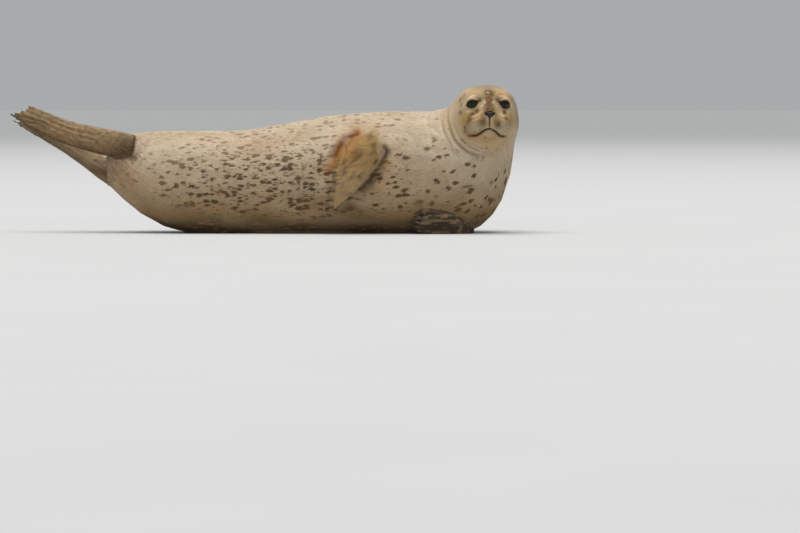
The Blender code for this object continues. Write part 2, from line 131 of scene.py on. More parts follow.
# %% Soft noise in space
def grain(points, size, seed):
    """Smooth random numbers from 0 to 1 that change over about the given size."""
    cell = np.asarray(points) / size + 37.0 * seed
    base = np.floor(cell).astype(np.int64)
    part = cell - base
    part = part * part * (3 - 2 * part)
    total = np.zeros(len(cell))
    for corner in range(8):
        step = np.array([corner & 1, corner >> 1 & 1, corner >> 2 & 1])
        key = (base + step) @ np.array([73856093, 19349663, 83492791]) + seed * 2654435761
        key = (key ^ (key >> 13)) * 1274126177 & 0x7FFFFFFF
        weight = np.where(step, part, 1 - part).prod(axis=1)
        total += weight * ((key ^ (key >> 16)) & 0xFFFF) / 65535
    return total


print("noise at three places:", grain(np.eye(3), 0.4, 1).round(2))


# %% Curves through a few named places
def curve_through(places, count=60):
    """Points on a smooth curve through the places."""
    rows = np.array(places, float)
    rows = np.vstack([2 * rows[0] - rows[1], rows, 2 * rows[-1] - rows[-2]])
    spans = len(rows) - 3
    made = []
    for where in np.linspace(0, spans, count):
        k = min(int(where), spans - 1)
        t = where - k
        a, b, c, d = rows[k : k + 4]
        made.append(0.5 * (
            2 * b + (c - a) * t + (2 * a - 5 * b + 4 * c - d) * t**2 + (3 * b - a - 3 * c + d) * t**3
        ))
    return np.array(made)


def nearest_on(line, points, chunk=20000):
    """For each point, the number of the nearest point of the line, and how far off it is."""
    which, away = [], []
    for start in range(0, len(points), chunk):
        gaps = lengths(points[start : start + chunk, None] - line[None])
        which.append(gaps.argmin(1))
        away.append(gaps.min(1))
    return np.concatenate(which), np.concatenate(away)


print("half way round a bend:", curve_through([[0, 0], [1, 0], [1, 1]], 3)[1])

# %% [markdown]
# ## Where things are
# The head is turned, so its features are easiest to place in a frame of its own: x to the seal's left, y
# up over the crown, z forward along the muzzle. The two eyeballs and the nose of the cast are enough to
# find that frame.


# %% Boxes of the cast's parts
def box_of(node):
    low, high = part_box(node)
    return np.array(low), np.array(high)


def middle(node):
    low, high = box_of(node)
    return (low + high) / 2


SIDES = ("right", "left")
FORE_CLAWS = {side: [f"claw_fore_{side}_{digit}" for digit in range(1, 6)] for side in SIDES}
print("the cast's nose is at", middle("nose").round(3))

# %% The head's own frame
EYE = np.array([44.0, 20.0, 61.5]) * MM  # the left eyeball in the head's frame; the right one mirrors it
EYE_RADIUS = float(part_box("eye_left")[1][2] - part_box("eye_left")[0][2]) / 2
NOSE = np.array([0.0, -13.5, 122.5]) * MM

eye_line = unit(middle("eye_left") - middle("eye_right"))
between_eyes = (middle("eye_left") + middle("eye_right")) / 2
to_nose = middle("nose") - between_eyes
to_nose = unit(to_nose - eye_line * (to_nose @ eye_line))
fall = math.atan2(EYE[1] - NOSE[1], NOSE[2] - EYE[2])
forward = math.cos(fall) * to_nose + math.sin(fall) * np.cross(to_nose, eye_line)
HEAD_AXES = np.array([eye_line, np.cross(forward, eye_line), forward])
HEAD_AT = between_eyes - HEAD_AXES[1] * EYE[1] - HEAD_AXES[2] * EYE[2]


def in_head(points):
    return (np.asarray(points) - HEAD_AT) @ HEAD_AXES.T


def from_head(places):
    return HEAD_AT + np.asarray(places, float) @ HEAD_AXES


def mirrored(local):
    """Places in the head's frame, folded over to the left side."""
    return np.column_stack([np.abs(local[:, 0]), local[:, 1], local[:, 2]])


print("head at", HEAD_AT.round(3), "eyes", round(2 * EYE[0] / MM), "mm apart")
print("eyeball radius", round(EYE_RADIUS / MM, 1), "mm")

# %% The line of the body, from rump to nose
rump = np.array([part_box("hips")[0][0], middle("hips")[1], middle("tail")[2]])
stations = [middle(node) for node in ("hips", "belly", "thorax", "neck")]
BODY_LINE = curve_through([rump, *stations, HEAD_AT, from_head(NOSE)], 140)
body_tangents = unit(np.gradient(BODY_LINE, axis=0))
body_lengths = np.concatenate([[0], np.cumsum(lengths(np.diff(BODY_LINE, axis=0)))])
print("body line", round(float(body_lengths[-1]), 3), "m from rump to nose")

# %% [markdown]
# ## One skin
# The cast is parted into hips, belly, neck and so on, and a seam shows between two parts. The flesh parts
# are copied and joined, and a voxel remesh, which rebuilds the surface from small cubes, makes one
# closed skin of them. The eyeballs and the nose go in as well, so that their sockets are shut for now.
# The remesh also makes small closed shells inside the body, and only the largest shell is kept.

# %% Join the flesh and remesh it
FLESH = (
    "hips", "belly", "thorax", "breast", "neck", "head", "muzzle", "lower_jaw", "tail",
    "fore_flipper_right", "fore_flipper_left", "hind_flipper_right", "hind_flipper_left",
)
VOXEL = 3.0 * MM
SAME_PLACE = 0.001 * MM  # points closer than this become one

gathered = bmesh.new()
for node in FLESH + ("eye_left", "eye_right", "nose"):
    gathered.from_mesh(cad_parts[node].data)
bmesh.ops.remove_doubles(gathered, verts=gathered.verts, dist=SAME_PLACE)
skin_mesh = bpy.data.meshes.new("skin")
gathered.to_mesh(skin_mesh)
gathered.free()
skin = bpy.data.objects.new("skin", skin_mesh)
bpy.context.scene.collection.objects.link(skin)


def bake_modifiers(piece):
    """Replace the piece's mesh by what its modifiers make of it."""
    shape = piece.evaluated_get(bpy.context.evaluated_depsgraph_get())
    done = bpy.data.meshes.new_from_object(shape)
    piece.modifiers.clear()
    old, piece.data = piece.data, done
    bpy.data.meshes.remove(old)
    done.name = piece.name
    return done


remesh = skin.modifiers.new("one_surface", "REMESH")
remesh.mode = "VOXEL"
remesh.voxel_size = VOXEL
skin_mesh = bake_modifiers(skin)
print("skin:", len(skin_mesh.vertices), "points")


# %% Keep the outer shell
def shells(count, edges):
    """A number for each point that is the same all over one connected shell."""
    label = np.arange(count)
    while True:
        low = np.minimum(label[edges[:, 0]], label[edges[:, 1]])
        before = label.copy()
        np.minimum.at(label, before[edges[:, 0]], low)
        np.minimum.at(label, before[edges[:, 1]], low)
        label = label[label]
        if (label[edges[:, 0]] == label[edges[:, 1]]).all():
            return label


label = shells(len(skin_mesh.vertices), edges_of(skin_mesh))
names, sizes = np.unique(label, return_counts=True)
outer = label == names[sizes.argmax()]
trimmed = bmesh.new()
trimmed.from_mesh(skin_mesh)
trimmed.verts.ensure_lookup_table()
bmesh.ops.delete(trimmed, geom=[trimmed.verts[i] for i in np.flatnonzero(~outer)], context="VERTS")
trimmed.to_mesh(skin_mesh)
trimmed.free()
print("shells:", sorted(sizes.tolist())[::-1][:6], "kept the largest")

# %% [markdown]
# ## Regions of the body
# Flippers, face and trunk need different smoothing, coat and colour. Each flipper of the cast is kept
# as a search tree, so that any point can be asked how far it lies from that flipper. The answers turn
# into weights between 0 and 1 that fade over a few millimetres.


# %% How far points lie from a part of the cast
def reach_of(node, points, limit):
    """Distance from each point to a part of the cast, or the limit where it is farther."""
    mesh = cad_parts[node].data
    tree = BVHTree.FromPolygons([v.co for v in mesh.vertices], [p.vertices for p in mesh.polygons])
    low, high = box_of(node)
    close = ((points > low - limit) & (points < high + limit)).all(axis=1)
    away = np.full(len(points), limit)
    for i in np.flatnonzero(close):
        found = tree.find_nearest(points[i], limit)
        if found[3] is not None:
            away[i] = found[3]
    return away


probe = middle("fore_flipper_right")[None] - [0, 0.06, 0]
print("from a test point to the flipper:", (reach_of("fore_flipper_right", probe, 0.1) / MM).round(1), "mm")

# %% Weights between 0 and 1
FLIPPERS = ("fore_flipper_right", "fore_flipper_left", "hind_flipper_right", "hind_flipper_left")
FLIPPER_FADE = (7 * MM, 2 * MM)  # beyond the first distance from a flipper the weight is 0


def weights_of(points):
    """How much each point belongs to each flipper, to the tail, to the head and to the face."""
    belongs = {node: ramp(reach_of(node, points, 9 * MM), *FLIPPER_FADE) for node in FLIPPERS + ("tail",)}
    belongs["flippers"] = np.max([belongs[node] for node in FLIPPERS], axis=0)
    local = in_head(points)
    belongs["head"] = ramp(lengths(local), 0.135, 0.100) * ramp(local[:, 2], -0.10, -0.04)
    belongs["face"] = ramp(lengths(local - [0, -0.01, 0.085]), 0.092, 0.070)
    return belongs


points = points_of(skin_mesh)
belongs = weights_of(points)
print({name: int((weight > 0.5).sum()) for name, weight in belongs.items()}, "points")

# %% [markdown]
# ## Smoothing
# Each step of smoothing moves a point towards the middle of its neighbours. Trunk and neck are
# smoothed long, until nothing of the cast's flat faces is left. The face and the flippers, whose
# forms are small, get only as much as takes off the marks of the remesh's cubes.


# %% Smooth by regions
def middles_of_neighbours(points, edges, counts):
    total = np.empty_like(points)
    ends, others = np.concatenate([edges, edges[:, ::-1]]).T
    for axis in range(3):
        total[:, axis] = np.bincount(ends, points[others, axis], len(points))
    return total / counts[:, None]


def smooth(points, edges, weight, times):
    counts = np.maximum(np.bincount(edges.ravel(), minlength=len(points)), 1)
    pull = 0.5 * np.asarray(weight)[:, None]
    for _ in range(times):
        points = points + pull * (middles_of_neighbours(points, edges, counts) - points)
    return points


edges = edges_of(skin_mesh)
plain = (1 - belongs["flippers"]) * (1 - belongs["tail"]) * (1 - belongs["head"])
resting = points[:, 2] < 2.5 * MM  # these stay pressed flat on the floor
points = smooth(points, edges, np.ones(len(points)), 4)
points = smooth(points, edges, 1 - belongs["flippers"] * 0.8, 14)
points = smooth(points, edges, plain, 200)
points = smooth(points, edges, np.maximum(belongs["head"] * (1 - belongs["face"]), plain), 30)
points[resting, 2] = np.minimum(points[resting, 2], 1.0 * MM)
set_points(skin_mesh, points)
print("smoothed", len(points), "points; on the floor:", int(resting.sum()))

# %% [markdown]
# ## A finer mesh for the head
# Lids and lips are a millimetre or two thick, so the head's faces are cut in four, and those round
# the eyes, nose and mouth in four again.


# %% Cut faces finer where the forms are small
EYE_FAR, EYE_NEAR = 36 * MM, 30 * MM  # from the ball's middle; the lids' work fades between the two


def finer(piece, chosen):
    """Cut the edges whose two points are chosen in half, and the faces between them in four."""
    mesh = bmesh.new()
    mesh.from_mesh(piece.data)
    mesh.verts.ensure_lookup_table()
    cut = [edge for edge in mesh.edges if chosen[edge.verts[0].index] and chosen[edge.verts[1].index]]
    bmesh.ops.subdivide_edges(mesh, edges=cut, cuts=1, use_grid_fill=True, smooth=0.0)
    mesh.to_mesh(piece.data)
    mesh.free()


def head_and_face(points):
    local = in_head(points)
    head = (lengths(local) < 0.150) & (local[:, 2] > -0.03)
    eyes = lengths(mirrored(local) - EYE) < EYE_FAR
    muzzle = (lengths(local - [0, -0.045, 0.110]) < 0.050) & (local[:, 2] > 0.070)
    return head, eyes | muzzle


finer(skin, head_and_face(points_of(skin_mesh))[0])
points = points_of(skin_mesh)
points = smooth(points, edges_of(skin_mesh), in_head(points)[:, 2] > -0.02, 3)
set_points(skin_mesh, points)
finer(skin, head_and_face(points)[1])
print("skin:", len(skin_mesh.vertices), "points after cutting finer")

# %% [markdown]
# ## Lids
# A seal's eye is a large ball that fills its socket, and the lids are thin skin stretched over it. So
# the lids are found from the ball itself: inside the almond of the opening the skin is pressed behind
# the ball, at its edge it turns over in a soft rim, and outside it lies on the ball before it runs out
# into brow and cheek. Distances on the ball are measured as arcs, along the almond and across it.

# %% The opening of the eye
EYE_FACES = unit([0.0060, -0.0035, 0.0190])  # from the ball's middle through the middle of the opening
EYE_LENGTHWISE = np.array([0.0415, -0.0150, -0.0245])  # from inner corner to outer corner
EYE_HALF_LENGTH = 20.0 * MM
LID_HEIGHTS = (10.0 * MM, 9.0 * MM)  # upper and lower lid, from the line between the corners
LID = 1.2 * MM  # thickness of a lid at its rim
LID_CLEAR = 0.9 * MM  # skin outside the opening stays this far off the ball

eye_long = unit(EYE_LENGTHWISE - EYE_FACES * (EYE_LENGTHWISE @ EYE_FACES))
eye_up = np.cross(EYE_FACES, eye_long)
eye_up *= np.sign(eye_up[1])


def past_the_lid(folded):
    """How far a place lies outside the eye's opening, along the ball; inside it is negative."""
    spoke = folded - EYE
    ahead = np.maximum(spoke @ EYE_FACES, 1e-6)
    long = np.arctan2(spoke @ eye_long, ahead) * EYE_RADIUS
    high = np.arctan2(spoke @ eye_up, ahead) * EYE_RADIUS
    lid = np.where(high > 0, *LID_HEIGHTS)
    share = np.minimum(np.abs(long) / EYE_HALF_LENGTH, 1)
    edge = lid * (1 - share**2.2)
    steep = np.sqrt(1 + (2.2 * lid / EYE_HALF_LENGTH * share**1.2) ** 2)
    across = (np.abs(high) - edge) / steep
    beyond = np.hypot(np.abs(long) - EYE_HALF_LENGTH, high)
    return np.where(np.abs(long) < EYE_HALF_LENGTH, across, beyond), high


print("opening", round(2 * EYE_HALF_LENGTH / MM), "by", round(sum(LID_HEIGHTS) / MM), "mm")


# %% Shape the lids
def shape_lids(local):
    folded = mirrored(local)
    spoke = folded - EYE
    away = lengths(spoke)
    past, high = past_the_lid(folded)
    facing = ramp(unit(spoke) @ EYE_FACES, 0.05, 0.35)
    at_eye = facing * ramp(away, EYE_FAR, EYE_NEAR)
    turned_over = LID * (1 - 0.75 * ramp(past, 1.4 * MM, 0))
    rim = EYE_RADIUS + turned_over + 0.35 * MM * bell(past - 3 * MM, 1.6 * MM)
    rim -= 0.7 * MM * bell(past - 6.5 * MM, 1.5 * MM) * ramp(high, 0, 4 * MM)
    outside = rim + (np.maximum(away, EYE_RADIUS + LID_CLEAR) - rim) * ramp(past, 4 * MM, 10 * MM)
    inside = EYE_RADIUS - 0.4 * MM - 6 * MM * ramp(past, -0.4 * MM, -3 * MM)
    wanted = np.where(past > 0, outside, inside)
    moved = EYE + unit(spoke) * (away + (wanted - away) * at_eye)[:, None]
    moved[:, 0] *= np.where(local[:, 0] < 0, -1, 1)
    return moved


points = points_of(skin_mesh)
local = in_head(points)
seen = lengths(mirrored(local) - EYE) < 0.040
local[seen] = shape_lids(local[seen])
set_points(skin_mesh, from_head(local))
eased = smooth(local, edges_of(skin_mesh), seen & (past_the_lid(mirrored(local))[0] > 1.2 * MM), 3)
local[seen] = eased[seen]
print("lids shaped from", int(seen.sum()), "points")

# %% [markdown]
# ## Nose, mouth and folds
# Everything else on the face is a groove or a swelling along a line. Two brushes do all of it: one
# presses a groove along a curve and raises its banks a little, the other raises or sinks a soft
# mound. Both push straight in or out from the surface.


# %% Two brushes
def groove(points, normals, line, depth, width, bank=0.25, fade=0.0):
    """Press a groove along a line. The banks rise by a share of the depth; fade thins both ends."""
    line = np.asarray(line)
    low, high = line.min(0) - 5 * width, line.max(0) + 5 * width
    close = np.flatnonzero(((points > low) & (points < high)).all(axis=1))
    which, away = nearest_on(line, points[close])
    along = which / (len(line) - 1)
    strength = np.minimum(1, np.minimum(along, 1 - along) / fade) if fade else 1.0
    profile = bell(away, width) - bank * bell(away - 2.1 * width, width)
    points[close] -= normals[close] * (depth * profile * strength)[:, None]


def mound(points, normals, centre, radii, height):
    """Raise a soft mound, or sink it where the height is below 0."""
    offset = lengths((points - centre) / radii)
    points += normals * (height * bell(offset, 1.0))[:, None]


flat = np.zeros((1, 3))
mound(flat, np.array([[0.0, 0.0, 1.0]]), np.zeros(3), 1.0, 2.0)
print("a mound of height 2 lifts its middle to", flat[0, 2])


# %% The same brushes in the head's frame
def both(places):
    """A line and its mirror image, in millimetres in the head's frame."""
    places = np.array(places, float) * MM
    return [places, places * [-1, 1, 1]]


def settle(local):
    """Write the places back to the skin, and return them with the skin's new normals."""
    set_points(skin_mesh, from_head(local))
    return in_head(points_of(skin_mesh)), normals_of(skin_mesh) @ HEAD_AXES.T


def swell(centre, radii, height):
    """Raise a mound on the face, all in millimetres in the head's frame."""
    mound(local, normal, np.array(centre) * MM, np.array(radii) * MM, height * MM)


def onto_skin(line, local):
    """Slide the points of a line in or out until they lie on the skin."""
    close = local[((local > line.min(0) - 0.03) & (local < line.max(0) + 0.03)).all(axis=1)]
    placed = []
    for place in line:
        level = lengths((close - place)[:, :2])
        best = np.where(close[:, 2] > place[2] - 0.03, level, 1).argmin()
        placed.append([place[0], place[1], close[best, 2]])
    return np.array(placed)


local, normal = settle(local)
print("the brushes work on", len(local), "points")

# %% Mouth, philtrum and chin
MOUTH_TOP, MOUTH_DROP = -57.5, 19.0  # its height at the middle, and how far its corners hang below
MOUTH_DEEP = ((0, 118), (14, 114), (26, 108), (36, 98), (46, 80), (56, 60))  # out to the side, and forward


def mouth_height(x):
    return (MOUTH_TOP - MOUTH_DROP * ramp(np.abs(x), 3, 40)) * MM


halves = [[x * MM, mouth_height(x), z * MM] for x, z in MOUTH_DEEP]
mouth_line = onto_skin(curve_through([[-x, y, z] for x, y, z in halves[:0:-1]] + halves, 160), local)
philtrum = curve_through([[0, -24 * MM, 0.12], [0, -40 * MM, 0.12], [0, -57 * MM, 0.118]], 40)
philtrum = onto_skin(philtrum, local)
groove(local, normal, mouth_line, 5.0 * MM, 2.5 * MM, bank=0.16, fade=0.10)
groove(local, normal, philtrum, 3.0 * MM, 2.0 * MM, bank=0.2)
swell((0, -70, 108), (20, 9, 16), 1.6)
local, normal = settle(local)
print("mouth", round(float(lengths(np.diff(mouth_line, axis=0)).sum()) / MM), "mm along the line")

# %% A bed for the nose leather, and the swellings beside the nostrils
NOSE_AT = np.array([0.0, -14.5, 116.5]) * MM
NOSE_SIZE = np.array([19.5, 11.5, 8.0]) * MM


def heart(wide, high):
    """The nose's outline: how far out a place lies, as a share, in directions from the middle."""
    narrow = 1 - 0.80 * ramp(high, 0.55, -1.0)
    return np.hypot(wide / narrow, np.where(high < 0, high / 1.15, high / 0.78))


for side in (1, -1):
    swell((side * 17, -16, 112), (8, 9, 12), 3.0)
swell((0, 0, 112), (15, 8, 12), 3.0)
offset = (local - NOSE_AT) / NOSE_SIZE
bed = ramp(heart(offset[:, 0], offset[:, 1]), 1.02, 0.78) * (local[:, 2] > 0.09) * (np.abs(offset[:, 2]) < 3)
local[:, 2] += bed * (np.minimum(local[:, 2], NOSE_AT[2] - 3 * MM) - local[:, 2])
local, normal = settle(local)
print("nose bed:", int((bed > 0).sum()), "points")

# %% Whisker pads and the rows on them
for side in (1, -1):
    swell((side * 22, -46, 122), (15, 15, 16), 3.2)
    swell((side * 42, -57, 106), (15, 13, 18), 3.4)
local, normal = settle(local)
PAD_ROWS = 5
whisker_rows = []
for row in range(PAD_ROWS):
    high = -28 - 7.2 * row
    for side in (1, -1):
        ends = [[side * x, high - 0.0045 * (x - 12) ** 2, 118] for x in (12 + 2 * row, 26, 38, 50, 57)]
        line = onto_skin(curve_through(np.array(ends) * MM, 40), local)
        whisker_rows.append(line)
        groove(local, normal, line, 0.3 * MM, 1.3 * MM, bank=0.35, fade=0.2)
local, normal = settle(local)
print(len(whisker_rows), "rows of whiskers")

# %% Folds of cheek, throat and brow, in millimetres in the head's frame
FACE_FOLDS = (
    # places along the fold, depth, width
    (((19, -12, 112), (30, -20, 108), (44, -27, 98), (57, -38, 86)), 2.4, 4.0),  # above the whisker pad
    (((58, -42, 86), (63, -55, 78), (60, -70, 72)), 2.6, 4.4),  # behind the whisker pad
    (((24, 40, 80), (38, 46, 76), (52, 42, 68)), 1.0, 3.0),  # over the brow
    (((8, 22, 96), (10, 34, 90), (14, 46, 82)), 0.8, 2.6),  # beside the forehead's middle
)
pad_folds = []
for number, (places, depth, width) in enumerate(FACE_FOLDS):
    for line in both(places):
        line = onto_skin(curve_through(line, 40), local)
        groove(local, normal, line, depth * MM, width * MM, fade=0.3)
        if number < 2:
            pad_folds.append(line)
print("folds of the face:", 2 * len(FACE_FOLDS))

# %% Creases round the chin
THROAT_RINGS = (26, 34, 43, 53)  # their radii
for radius in THROAT_RINGS:
    turn = np.radians(np.linspace(-62, 62, 50))
    ring = np.column_stack([1.25 * radius * np.sin(turn), -74 - radius * np.cos(turn), 90 + 0 * turn]) * MM
    groove(local, normal, onto_skin(ring, local), 1.0 * MM, 2.2 * MM, bank=0.5, fade=0.3)
local, normal = settle(local)
print("creases round the chin:", len(THROAT_RINGS))

# %% [markdown]
# ## Folds of the body
# Where the neck bends round to bring the head to the front, the loose skin lies in creases that run from the
# nape to the throat. Smaller ones ring the shoulder of the flank's flipper. They come from the same
# groove brush, along curves that first are drawn through the air and then dropped on to the skin.


# %% Drop a curve on to the skin
def skin_tree():
    return BVHTree.FromPolygons([v.co for v in skin_mesh.vertices], [p.vertices for p in skin_mesh.polygons])


def dropped(line, tree):
    return np.array([tree.find_nearest(place)[0] for place in line])


set_points(skin_mesh, from_head(local))
points, normal = points_of(skin_mesh), normals_of(skin_mesh)
tree = skin_tree()
NECK_FOLDS = (
    # places in the head's frame in millimetres, depth, width
    (
        ((-112, 10, -16), (-116, -22, 7), (-108, -62, 34), (-92, -95, 52), (-50, -129, 60), (-8, -139, 53)),
        2.4, 4.6,
    ),
    (((-129, -10, -18), (-130, -40, 5), (-121, -76, 28), (-101, -110, 44), (-62, -138, 52)), 1.2, 4.6),
    (((-98, -40, 30), (-86, -80, 56), (-62, -108, 70), (-30, -122, 70)), 1.3, 3.8),
    (((40, -118, 60), (66, -96, 52), (84, -66, 34)), 1.6, 4.0),
    (((20, -134, 54), (60, -124, 44), (88, -96, 26)), 1.4, 4.0),
)
neck_lines = []
for places, depth, width in NECK_FOLDS:
    line = dropped(from_head(curve_through(np.array(places) * MM, 90)), tree)
    neck_lines.append(line)
    groove(points, normal, line, depth * MM, width * MM, bank=0.35, fade=0.3)
print("neck folds:", len(NECK_FOLDS))


# %% Creases round the root of a flipper, given as shares of the flipper's box
def in_box(node, shares):
    low, high = box_of(node)
    return low + (high - low) * np.array(shares)


SHOULDER_CREASES = (
    (((1.10, 0.3, 0.93), (1.20, 0.3, 0.80), (1.18, 0.3, 0.66), (1.08, 0.3, 0.56)), 1.6, 3.0),
    (((1.22, 0.3, 0.92), (1.32, 0.3, 0.78), (1.28, 0.3, 0.62), (1.18, 0.3, 0.50)), 1.2, 3.0),
    (((0.92, 0.2, 0.70), (0.98, 0.2, 0.62), (0.96, 0.2, 0.54)), 1.2, 2.6),
    (((0.40, 0.3, 0.88), (0.26, 0.3, 0.78), (0.14, 0.3, 0.66)), 2.2, 4.0),
    (((0.34, 0.3, 0.96), (0.20, 0.3, 0.88), (0.08, 0.3, 0.76)), 1.2, 3.6),
    (((0.58, 0.1, 0.84), (0.72, 0.1, 0.82), (0.86, 0.1, 0.85)), 0.9, 2.6),
    (((0.42, 0.1, 0.64), (0.56, 0.1, 0.62), (0.70, 0.1, 0.65)), 0.9, 2.6),
    (((0.34, 0.1, 0.56), (0.46, 0.1, 0.54), (0.60, 0.1, 0.57)), 0.8, 2.6),
)
for places, depth, width in SHOULDER_CREASES:
    line = dropped(curve_through([in_box("fore_flipper_right", share) for share in places], 60), tree)
    groove(points, normal, line, depth * MM, width * MM, bank=0.4, fade=0.35)
print("shoulder creases:", len(SHOULDER_CREASES))

# %% Furrows between the digits
def claw_tips(node):
    """The tips of a flipper's five claws in the cast, from one edge of the flipper to the other."""
    limb, _, side = node.split("_")
    if limb == "fore":
        casts = [points_of(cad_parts[claw].data) for claw in FORE_CLAWS[side]]
        return [cast[lengths(cast - middle(node)).argmax()] for cast in casts]
    # A hind claw is part of its flipper, and its tip is a point where a dozen faces meet.
    places, shared = np.unique(points_of(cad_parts[node].data).round(5), axis=0, return_counts=True)
    sharp = places[shared >= 11]
    away = lengths(sharp - middle(node))
    kept = []
    for tip in sharp[np.argsort(-away)]:
        axis = unit(tip - middle(node))
        if all(lengths(np.cross(tip - other, axis)) > 6 * MM for other in kept):
            kept.append(tip)
    return sorted(kept[:5], key=lambda tip: tip[2])


hind_furrows = []
for node in FLIPPERS:
    tips = claw_tips(node)
    for one, two in zip(tips, tips[1:]):
        start, end = middle(node) * 0.55 + (one + two) * 0.225, (one + two) / 2
        line = dropped(start + (end - start) * np.linspace(0, 1, 40)[:, None] - [0, 0.02, 0], tree)
        groove(points, normal, line, 1.5 * MM, 3.2 * MM, bank=0.5, fade=0.2)
        if node.startswith("hind"):
            hind_furrows.append(line)
    print(node, len(tips), "claw tips")

# %% Fur-covered swellings round the roots of the fore claws
KNUCKLE = np.array([8.0, 8.0, 5.5]) * MM
for side in SIDES:
    for claw in FORE_CLAWS[side]:
        cast = points_of(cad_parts[claw].data)
        away = lengths(cast - middle("fore_flipper_" + side))
        root = cast[away < np.quantile(away, 0.25)].mean(0)
        mound(points, normal, root, KNUCKLE, 3.2 * MM)
set_points(skin_mesh, points)
print("swellings:", sum(len(claws) for claws in FORE_CLAWS.values()))

# %% [markdown]
# ## Room for the coat
# The cast's surface is where the tips of the hair end, so the skin sinks under it by the depth of the
# coat: most on the trunk, least on the muzzle and the flippers. Where the seal lies on the floor
# the coat is pressed flat and the skin stays down.


# %% Depth of the coat, from place to place
DEEPEST = 2.6  # millimetres, on the trunk


def coat_depth(points, belongs):
    depth = DEEPEST - 1.3 * belongs["head"]
    depth -= 0.7 * ramp(lengths(in_head(points) - NOSE), 0.085, 0.035)
    depth = depth * (1 - 0.62 * belongs["flippers"])
    return np.maximum(depth, 0.5) * MM


points, normal = points_of(skin_mesh), normals_of(skin_mesh)
belongs = weights_of(points)
depth = coat_depth(points, belongs)
print("coat depth", (depth.min() / MM).round(2), "to", (depth.max() / MM).round(2), "mm")

# %% Sink the skin, but neither at the lids nor into the floor
FLOOR_GAP = 0.5 * MM
folded = mirrored(in_head(points))
past = past_the_lid(folded)[0]
on_eye = (lengths(folded - EYE) < 34 * MM) & (past < 7 * MM)
sinks = depth * ramp(points[:, 2], FLOOR_GAP, 9 * MM) * np.where(on_eye, ramp(past, 2 * MM, 7 * MM), 1)
points -= normal * sinks[:, None]
points[:, 2] = np.maximum(points[:, 2], FLOOR_GAP)
print("sunk by", (sinks.mean() / MM).round(2), "mm on average")

# %% Lift whatever sank into an eyeball
local = in_head(points)
folded = mirrored(local)
past = past_the_lid(folded)[0]
spoke = folded - EYE
in_ball = (lengths(spoke) < EYE_RADIUS + LID_CLEAR) & (spoke @ EYE_FACES > -0.5 * EYE_RADIUS)
sunk = np.flatnonzero(in_ball & (past > 0.2 * MM))
lifted = EYE + unit(spoke[sunk]) * (EYE_RADIUS + LID_CLEAR)
local[sunk] = lifted * np.column_stack([np.where(local[sunk, 0] < 0, -1, 1), np.ones((len(sunk), 2))])
points = from_head(local)
set_points(skin_mesh, points)
print("lifted", len(sunk), "points off the eyeballs")

# %% [markdown]
# ## Fewer points where the body is plain
# The flat cubes of the remesh gave the smooth back as many points as the lips. A decimate modifier with
# a weight for each point takes most of them from the trunk, fewer from the flippers and none from the
# face. Painted stains need points to sit on, so edges that are then too long are cut in two again.

# %% Thin out the trunk
SKIN_TRIANGLES = 184000


def triangle_count(mesh):
    return sum(len(face.vertices) - 2 for face in mesh.polygons)


plain = (1 - 0.7 * belongs["flippers"]) * ramp(lengths(in_head(points)), 0.115, 0.155)
group = skin.vertex_groups.new(name="plain")
for level in np.linspace(0.1, 1.0, 10):
    members = np.flatnonzero(np.abs(plain - level) <= 0.05)
    group.add(members.tolist(), float(level), "REPLACE")
triangles = triangle_count(skin_mesh)
thin = skin.modifiers.new("thin_out", "DECIMATE")
thin.ratio = SKIN_TRIANGLES / triangles
thin.vertex_group = group.name
thin.vertex_group_factor = 1.0
skin_mesh = bake_modifiers(skin)
skin.vertex_groups.clear()
print("skin:", triangles, "triangles thinned to", triangle_count(skin_mesh))

# %% Split the longest edges, most of all round the arm where the stains have sharp borders
LONGEST_EDGE, LONGEST_BY_ARM = 13 * MM, 6.5 * MM
MOST_TRIANGLES = 199000
low, high = box_of("fore_flipper_right")
ARM_MIDDLE, ARM_REACH = (low + high) / 2, (high - low) / 2 + [0.06, 0.10, 0.04]


def is_long(edge, share):
    halfway = (edge.verts[0].co + edge.verts[1].co) / 2
    by_arm = all(abs(halfway[k] - ARM_MIDDLE[k]) < ARM_REACH[k] for k in range(3))
    return edge.calc_length() > (LONGEST_BY_ARM if by_arm else LONGEST_EDGE * share)


made = bmesh.new()
made.from_mesh(skin_mesh)
bmesh.ops.triangulate(made, faces=made.faces[:])
for share in (4, 2, 1, 1, 1):
    too_long = [edge for edge in made.edges if is_long(edge, share)]
    if not too_long or len(made.faces) + 2 * len(too_long) > MOST_TRIANGLES:
        break
    bmesh.ops.subdivide_edges(made, edges=too_long, cuts=1)
    bmesh.ops.triangulate(made, faces=[face for face in made.faces if len(face.verts) > 3])
made.to_mesh(skin_mesh)
made.free()
skin_mesh.shade_smooth()
print("skin:", len(skin_mesh.polygons), "triangles after the split")

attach(skin, "root")
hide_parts(*FLESH)

# %% [markdown]
# ## How the coat lies
# A seal's hair starts at the nose, parts over the face and runs tailward over the whole body, and on a
# flipper towards the claws. The marks of the coat stretch the same way. So every point of the skin gets a
# direction of flow, and a place on the pelt: how far along the body's line it is, and how far to its
# two sides, as if the seal were pulled out straight.

# %% Two directions across the body, carried along its line without a twist
side_ways = []
carried = np.array([0.0, 1.0, 0.0])
for tangent in body_tangents:
    carried = unit(carried - tangent * (carried @ tangent))
    side_ways.append(carried)
side_ways = np.array(side_ways)
other_ways = np.cross(body_tangents, side_ways)
print("sideways at the rump", side_ways[0].round(2), "and at the nose", side_ways[-1].round(2))

